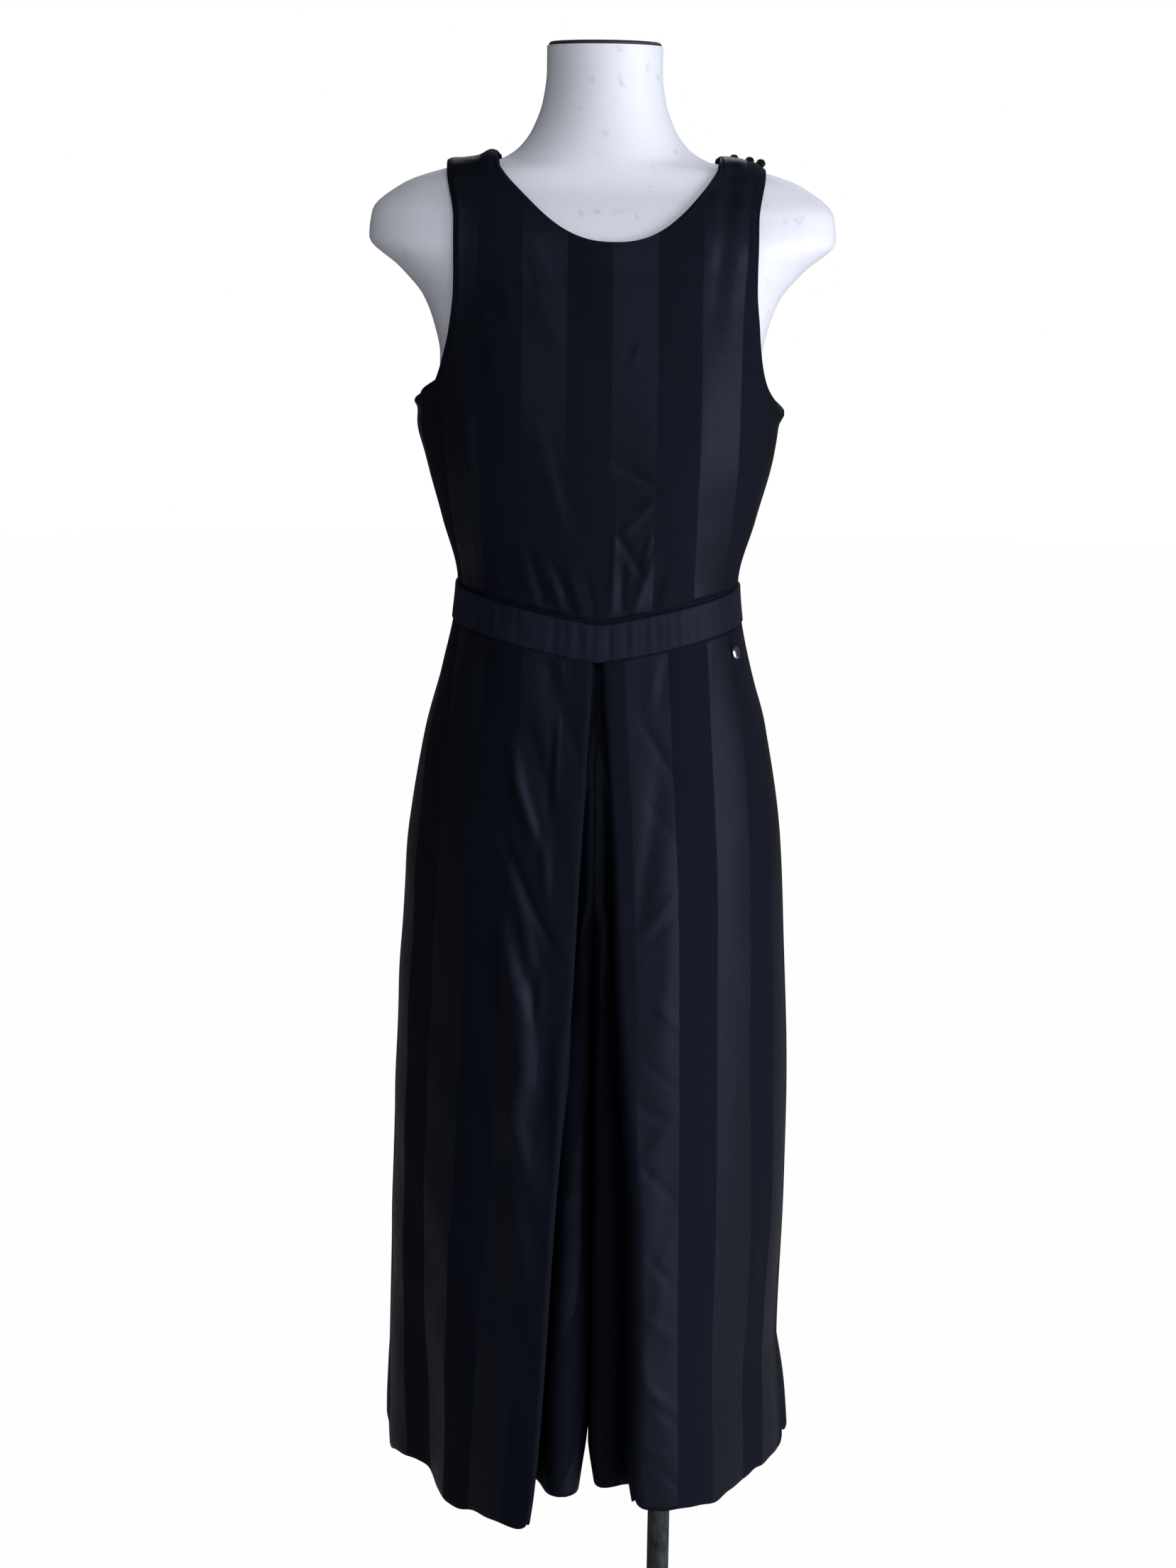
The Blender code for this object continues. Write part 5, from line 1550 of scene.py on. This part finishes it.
# Where the hem hangs higher: panel, leg, place on the face, rise, width
HEM_LIFTS = (
    ("front", "right", 0.36, 0.0080, 0.15),
    ("front", "left", 0.46, 0.0050, 0.15),
    ("front", "right", 0.0, 0.0070, 0.045),
    ("back", "right", 0.0, 0.0070, 0.060),
    ("front", "left", 0.0, 0.0080, 0.055),
    ("back", "left", 0.0, 0.0080, 0.070),
)
CORNER_ROUND = {"left": 0.016, "right": 0.013}
RETURN_SLOWNESS = 0.3


def hem_line(face, leg, places, along):
    """Height of the hem, from the place on the face and the length from the pleat edge."""
    hem = HEM + HEM_WAVE * np.sin(places * 2 * math.pi * HEM_WAVES)
    for number, (pitch, height) in enumerate(HEM_RIPPLES):
        hem += height * np.sin(along / pitch * 2 * math.pi + (1.9 + number) * LEGS[leg][0])
    for panel, which, place, rise_up, width in HEM_LIFTS:
        if (panel, which) == (face, leg):
            hem += rise_up * np.exp(-((places - place) / width) ** 2)
    if face == "front":
        radius = CORNER_ROUND[leg]
        near = np.clip(radius - np.abs(along) * np.where(along > 0, RETURN_SLOWNESS, 1.0), 0.0, radius)
        hem += radius - np.sqrt(radius ** 2 - near ** 2)
    return hem


print("hem lifts:", len(HEM_LIFTS))

# %% [markdown]
# ## Where the legs meet
# Above the crotch the two legs are sewn edge to edge. Below it they only hang against each other,
# so both sway sideways together and never cut through one another. Creases fade out before they
# reach a seam or the pleat edge, where the cloth is held, and are faint on the underlay.

# %% Meeting legs
SWAY = 0.0042
SWAY_REACH = 0.026
SWAY_FRONT, SWAY_BACK = -0.10, 0.13
SWAY_FADE, SWAY_FOOT = 0.05, 0.02
SEAM_PULL, SEAM_CLOSING = 0.9, 0.03
HELD_COLUMNS, HELD_EDGE_COLUMNS = 8, 6
HELD_TOP = 0.008
UNDERLAY_CREASE = 0.35


def inner_sway(middle):
    """Sideways sway of the two inner legs, which hang against each other down to the hem."""
    near = ease_in_out(1 - np.abs(middle[:, :, 0]) / SWAY_REACH)
    height = middle[:, :, 2]
    fade = ease_in_out((CROTCH - height) / SWAY_FADE)
    fade = fade * ease_in_out((height - LEG_GAP_START + SWAY_FOOT) / SWAY_FADE)
    depth = np.clip((middle[:, :, 1] - SWAY_FRONT) / (SWAY_BACK - SWAY_FRONT), 0.0, 1.0)
    return SWAY * np.sin(2 * math.pi * depth) * near * fade


def crease_room(face, places, from_top):
    """How freely each point can crease, from 0 at a seam to 1 in the open face."""
    number = np.arange(len(places))
    room = ease_in_out(number / HELD_COLUMNS) * ease_in_out((len(places) - 1 - number) / HELD_COLUMNS)
    room = room * ease_in_out(from_top / HELD_TOP) * np.where(places < 1.0, 1.0, UNDERLAY_CREASE)
    return room * ease_in_out(np.abs(number - FACE_COLUMNS[face]) / HELD_EDGE_COLUMNS)


print("sway of the inner legs:", SWAY * 1000, "mm")

# %% [markdown]
# ## The leg panels
# A few hundred sections are worked out first, close together at the crotch, where they change
# fastest. Each column of the cloth grid then reads its own heights off them, because its foot
# follows the hem and its top follows the pointed waist seam.

# %% Leg grid
SECTION_LEVELS = 230
LEVELS_BELOW_HEM, LEVELS_ABOVE_WAIST = 0.001, 0.0005
CROTCH_LEVELS = 16
BELOW_CROTCH, ABOVE_CROTCH = 0.004, 0.012
LEG_ROWS = 104
HIP_ROWS = 74
HIP_CROWD = 1.35
LEG_WAVES = 0.0006


def leg_levels():
    """Heights at which the sections are worked out."""
    lowest = HEM - HEM_WAVE - LEVELS_BELOW_HEM
    levels = np.linspace(lowest, WAIST_LINES["foot"][0] + LEVELS_ABOVE_WAIST, SECTION_LEVELS)
    close = np.linspace(CROTCH - BELOW_CROTCH, CROTCH + ABOVE_CROTCH, CROTCH_LEVELS)
    return np.sort(np.concatenate((levels, close)))


def hang_grid(levels, sections, runs, hem, top):
    """Reads every column's points, and its length along the cloth, off the sections."""
    low = np.linspace(0.0, 1.0, LEG_ROWS + 1)[:-1, None]
    high = np.linspace(0.0, 1.0, HIP_ROWS + 1)[:, None] ** HIP_CROWD
    height = np.vstack((hem + (CROTCH - hem) * low, CROTCH + (top - CROTCH) * high))
    middle = np.zeros((*height.shape, 3))
    run = np.zeros(height.shape)
    for column in range(height.shape[1]):
        own = height[:, column]
        middle[:, column, 0] = np.interp(own, levels, sections[:, column, 0])
        middle[:, column, 1] = np.interp(own, levels, sections[:, column, 1])
        run[:, column] = np.interp(own, levels, runs[:, column])
    middle[:, :, 2] = height
    return middle, run


print("sections:", len(leg_levels()), "grid rows:", LEG_ROWS + HIP_ROWS + 1)

# %% [markdown]
# ## Hanging the legs
# The first column lies on the side seam and the last on the seat seam or the inseam, and both
# are set exactly there, so that a front and its back meet.

# %% Leg panels
def trouser_grid(face, leg):
    """Grid of a leg panel, with its stripe map and its outward normals."""
    side, _ = LEGS[leg]
    toward = -1 if face == "front" else 1
    levels = leg_levels()
    sections = np.array([trouser_line(face, leg, height) for height in levels])
    shares = sections[-1, :, 0] / sections[-1, 0, 0]
    places = np.minimum(1.0, np.arange(sections.shape[1]) / FACE_COLUMNS[face])
    foot_run = section_runs(levels[:1], sections[:1])[0]
    hem = hem_line(face, leg, places, foot_run - foot_run[FACE_COLUMNS[face]])
    top = waist_line(face, "foot", shares) - SEAM
    middle, run = hang_grid(levels, sections, stripe_runs(face, leg, levels, sections), hem, top)
    height = middle[:, :, 2].copy()
    middle[:, :, 0] *= side
    middle[:, 0, 1] = toward * SEAM / 2
    middle[height[:, -1] <= CROTCH + NEAR, -1, 1] = CROTCH_Y + toward * SEAM / 2
    outward = grid_normals(middle) * side * toward
    lift = crease_depth(middle[:, :, 0], height, LEG_CREASES[(face, leg)])
    lift += slow_waves(middle[:, :, 0], height, 3 + side + 2 * toward, LEG_WAVES)
    middle = middle + outward * (lift * crease_room(face, places, top - height))[..., None]
    middle[:, :, 0] = side * np.maximum(side * middle[:, :, 0], SEAM / 2 + CLOTH / 2)
    middle[:, -1, 0] *= 1 - SEAM_PULL * ease_in_out((height[:, -1] - CROTCH) / SEAM_CLOSING)
    middle[:, :, 0] += inner_sway(middle)
    marks = np.dstack((run / STRIPE_PAIR, height / STRIPE_PAIR))
    return middle, marks, outward


for face in ("front", "back"):
    for leg in LEGS:
        middle, marks, outward = trouser_grid(face, leg)
        piece, flat, area = sheet_piece(
            "trousers_" + face + "_" + leg, middle, marks, outward, STRIPED,
            "trouser_" + face + "_" + leg,
        )

# %% [markdown]
# ## The white of the form
# The form is a moulded shell with a satin white skin, a little grey and scuffed from use. Broad
# noise shades the white and its gloss, and fine noise, cut off low by a ramp, leaves only a few
# small marks. Both read the object's own coordinates, so they stay where they are on the shell.

# %% Form material
FORM_WHITE = (0.96, 0.965, 0.980)
FORM_SHADE = (0.93, 0.925, 0.96)
SCUFF_GREY = (0.46, 0.45, 0.50, 1.0)
SCUFF_STOPS = ((0.30, 0.0), (0.64, 0.06), (0.72, 0.65))
FORM_ROUGHNESS = (0.38, 0.58)


def scuffed_white(name):
    """Satin white, shaded by broad noise and marked a little by fine noise."""
    surface, shader, make, links = new_finish(name)
    place = make("ShaderNodeTexCoord")
    stretched = make("ShaderNodeMapping", {0: place.outputs["Object"], "Scale": (1.0, 1.0, 0.35)})
    broad = make("ShaderNodeTexNoise", {"Vector": stretched.outputs[0], "Scale": 9.0, "Detail": 4.0})
    fine = make("ShaderNodeTexNoise", {"Vector": place.outputs["Object"], "Scale": 75.0, "Detail": 5.0})
    marks = make("ShaderNodeValToRGB", {0: fine.outputs["Fac"]})
    ramp(marks, SCUFF_STOPS)
    worn = make("ShaderNodeMath", {0: broad.outputs["Fac"], 1: marks.outputs[0]}, operation="MULTIPLY")
    shaded = [white * shade for white, shade in zip(FORM_WHITE, FORM_SHADE)]
    tint = make(
        "ShaderNodeMix",
        {0: broad.outputs["Fac"], 6: (*FORM_WHITE, 1.0), 7: (*shaded, 1.0)},
        data_type="RGBA",
    )
    grey = make(
        "ShaderNodeMix", {0: worn.outputs[0], 6: tint.outputs[2], 7: SCUFF_GREY}, data_type="RGBA"
    )
    links.new(grey.outputs[2], shader.inputs["Base Color"])
    gloss = make(
        "ShaderNodeMapRange",
        {"Value": broad.outputs["Fac"], "To Min": FORM_ROUGHNESS[0], "To Max": FORM_ROUGHNESS[1]},
    )
    links.new(gloss.outputs[0], shader.inputs["Roughness"])
    bump = make("ShaderNodeBump", {"Strength": 0.12, "Distance": 0.0006, "Height": broad.outputs["Fac"]})
    links.new(bump.outputs[0], shader.inputs["Normal"])
    return surface


WHITE = scuffed_white("form_satin_white")
print("material:", WHITE.name)

# %% [markdown]
# ## The dress form
# The form is made again from its own table with many more segments, because its shoulder caps
# and neck show their outline against the light. It starts as a disc and is extruded up ring by
# ring, each ring moved to its height's rounded rectangle.

# %% Form piece
FORM_SEGMENTS = 112
FORM_RINGS = 150
FORM_FOOT = 0.870
NECK_TOP = 1.617
RING_CROWD = 0.08


def form_ring(height):
    """Points of the form's outline at a height, all the way round."""
    turn = np.linspace(0.0, 2 * math.pi, FORM_SEGMENTS, endpoint=False)
    power = float(FORM.at("roundness", height))
    across = np.sign(np.cos(turn)) * np.abs(np.cos(turn)) ** (2 / power)
    depth = np.sign(np.sin(turn)) * np.abs(np.sin(turn)) ** (2 / power)
    face_depth = np.where(depth > 0, float(FORM.at("back", height)), float(FORM.at("front", height)))
    x = across * float(FORM.at("half_width", height)) - POLE_OFFSET
    return np.column_stack((x, depth * face_depth, np.full(len(turn), height)))


bm = bmesh.new()
bmesh.ops.create_circle(bm, cap_ends=True, segments=FORM_SEGMENTS, radius=1.0)
order = bm.verts.layers.int.new("order")
for number, vert in enumerate(bm.verts):
    vert[order] = number
cap = bm.faces[:][0]
share = np.linspace(0.0, 1.0, FORM_RINGS)
levels = FORM_FOOT + (NECK_TOP - FORM_FOOT) * (share + RING_CROWD * np.sin(math.pi * share))
for number, height in enumerate(levels):
    if number:
        grown = bmesh.ops.extrude_face_region(bm, geom=[cap])["geom"]
        if number > 1:
            bmesh.ops.delete(bm, geom=[cap], context="FACES_ONLY")
        cap = next(item for item in grown if isinstance(item, bmesh.types.BMFace))
    ring = form_ring(height)
    for vert in cap.verts:
        vert.co = ring[vert[order]]
bmesh.ops.recalc_face_normals(bm, faces=bm.faces[:])
if bm.calc_volume(signed=True) < 0:
    bmesh.ops.reverse_faces(bm, faces=bm.faces[:])
print("form rings:", FORM_RINGS, "volume:", round(bm.calc_volume() * 1000, 1), "litres")
finish_piece("form_shell", bm, WHITE, ("form_torso",))

# %% [markdown]
# ## Hard pieces
# The neck cap, socket, pole, base, buttons and stud keep their imported solids, whose shapes are
# right, and get a finish of their own. The pole's black paint has lighter grey streaks in small
# upright patches, and the base has the fine grain of powder coat. One function makes all of them:
# noise, stretched or not, shades the colour, the gloss and a slight bump.

# %% Hard finishes
GRAIN_STOPS = ((0.35, 0.0), (0.72, 1.0))
GLOSS_LOW, GLOSS_HIGH = 0.8, 1.25
GRAIN_LIGHT = 0.01


def hard_finish(name, base, roughness, metallic, stretch, scale, contrast, level=0.5):
    """Paint or metal whose colour and gloss vary with a stretched noise."""
    surface, shader, make, links = new_finish(name)
    place = make("ShaderNodeTexCoord")
    stretched = make("ShaderNodeMapping", {0: place.outputs["Object"], "Scale": stretch})
    grain = make("ShaderNodeTexNoise", {"Vector": stretched.outputs[0], "Scale": scale, "Detail": 5.0})
    light = tuple(min(1.0, value * (1 + contrast) + GRAIN_LIGHT * contrast) for value in base)
    tone = make("ShaderNodeValToRGB", {0: grain.outputs["Fac"]})
    ramp(tone, GRAIN_STOPS)
    colour = make("ShaderNodeMix", {0: tone.outputs[0], 6: (*base, 1.0), 7: (*light, 1.0)}, data_type="RGBA")
    links.new(colour.outputs[2], shader.inputs["Base Color"])
    gloss = make(
        "ShaderNodeMapRange",
        {"Value": grain.outputs["Fac"], "To Min": roughness * GLOSS_LOW, "To Max": roughness * GLOSS_HIGH},
    )
    links.new(gloss.outputs[0], shader.inputs["Roughness"])
    bump = make("ShaderNodeBump", {"Strength": 0.15, "Distance": 0.0003, "Height": grain.outputs["Fac"]})
    links.new(bump.outputs[0], shader.inputs["Normal"])
    shader.inputs["Metallic"].default_value = metallic
    shader.inputs["Specular IOR Level"].default_value = level
    return surface


PLAIN, UPRIGHT, DRAWN = (1, 1, 1), (1, 1, 0.4), (1, 1, 0.2)
BUTTONS = ("shoulder_button_1", "shoulder_button_2", "shoulder_button_3")
HARD_FINISHES = (
    # nodes, name, colour, roughness, metallic, stretch, scale, contrast, gloss level if not 0.5
    (("form_neck_cap",), "cap_black", (0.018, 0.018, 0.020), 0.55, 0.0, PLAIN, 60.0, 0.6),
    (("form_socket",), "socket_grey", (0.11, 0.11, 0.115), 0.40, 0.9, DRAWN, 90.0, 0.5),
    # pole: black with lighter grey streaks from upright stretched noise
    (("stand_pole",), "pole_worn_black", (0.011, 0.013, 0.014), 0.50, 0.0, UPRIGHT, 130.0, 3.0, 0.30),
    (("stand_base",), "base_powder_black", (0.028, 0.028, 0.031), 0.50, 0.1, PLAIN, 420.0, 0.8),
    (BUTTONS, "button_jet", (0.004, 0.004, 0.005), 0.10, 0.0, PLAIN, 130.0, 0.5),
    (("hip_stud",), "stud_silver_plate", (0.66, 0.66, 0.68), 0.17, 1.0, PLAIN, 160.0, 0.15),
)
for nodes, *finish in HARD_FINISHES:
    surface = hard_finish(*finish)
    for node in nodes:
        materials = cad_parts[node].data.materials
        materials.clear()
        materials.append(surface)
print("finished nodes:", sum(len(row[0]) for row in HARD_FINISHES))

# %% [markdown]
# ## Button loops
# Each ball button passes through a loop of thin covered cord, sewn to the edge of the back strap.
# A loop is a small ring lying over the button's foot: a circle of eight points, stood on edge,
# moved out by the loop's radius and spun through a full turn about an upright axis.

# %% Loops
LOOP_RADIUS = 0.0040
LOOP_CORD = 0.0007
CORD_SIDES, LOOP_STEPS = 8, 28
LOOP_TILTS = (-14, 9, -6)
LOOP_BACK, LOOP_DROP = 0.001, 0.0012
THREAD = hard_finish("loop_black", (0.006, 0.006, 0.008), 0.75, 0.0, PLAIN, 900.0, 1.2)

for number, degrees in enumerate(LOOP_TILTS, 1):
    low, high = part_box("shoulder_button_%d" % number)
    centre = (low + high) / 2
    bm = bmesh.new()
    bmesh.ops.create_circle(bm, cap_ends=False, segments=CORD_SIDES, radius=LOOP_CORD)
    bmesh.ops.rotate(bm, verts=bm.verts, cent=(0, 0, 0), matrix=Matrix.Rotation(math.pi / 2, 3, "X"))
    bmesh.ops.translate(bm, verts=bm.verts, vec=(LOOP_RADIUS, 0.0, 0.0))
    bmesh.ops.spin(
        bm, geom=bm.verts[:] + bm.edges[:], cent=(0, 0, 0), axis=(0, 0, 1), dvec=(0, 0, 0),
        angle=2 * math.pi, steps=LOOP_STEPS, use_merge=True, use_duplicate=False,
    )
    bmesh.ops.remove_doubles(bm, verts=bm.verts[:], dist=1e-5)
    bmesh.ops.recalc_face_normals(bm, faces=bm.faces[:])
    tilt = Matrix.Rotation(math.radians(degrees), 3, "Y")
    bmesh.ops.rotate(bm, verts=bm.verts, cent=(0, 0, 0), matrix=tilt)
    place = (centre.x, centre.y + LOOP_BACK, centre.z - LOOP_DROP)
    bmesh.ops.translate(bm, verts=bm.verts, vec=place)
    finish_piece("button_loop_%d" % number, bm, THREAD)
print("loops:", len(BUTTONS))
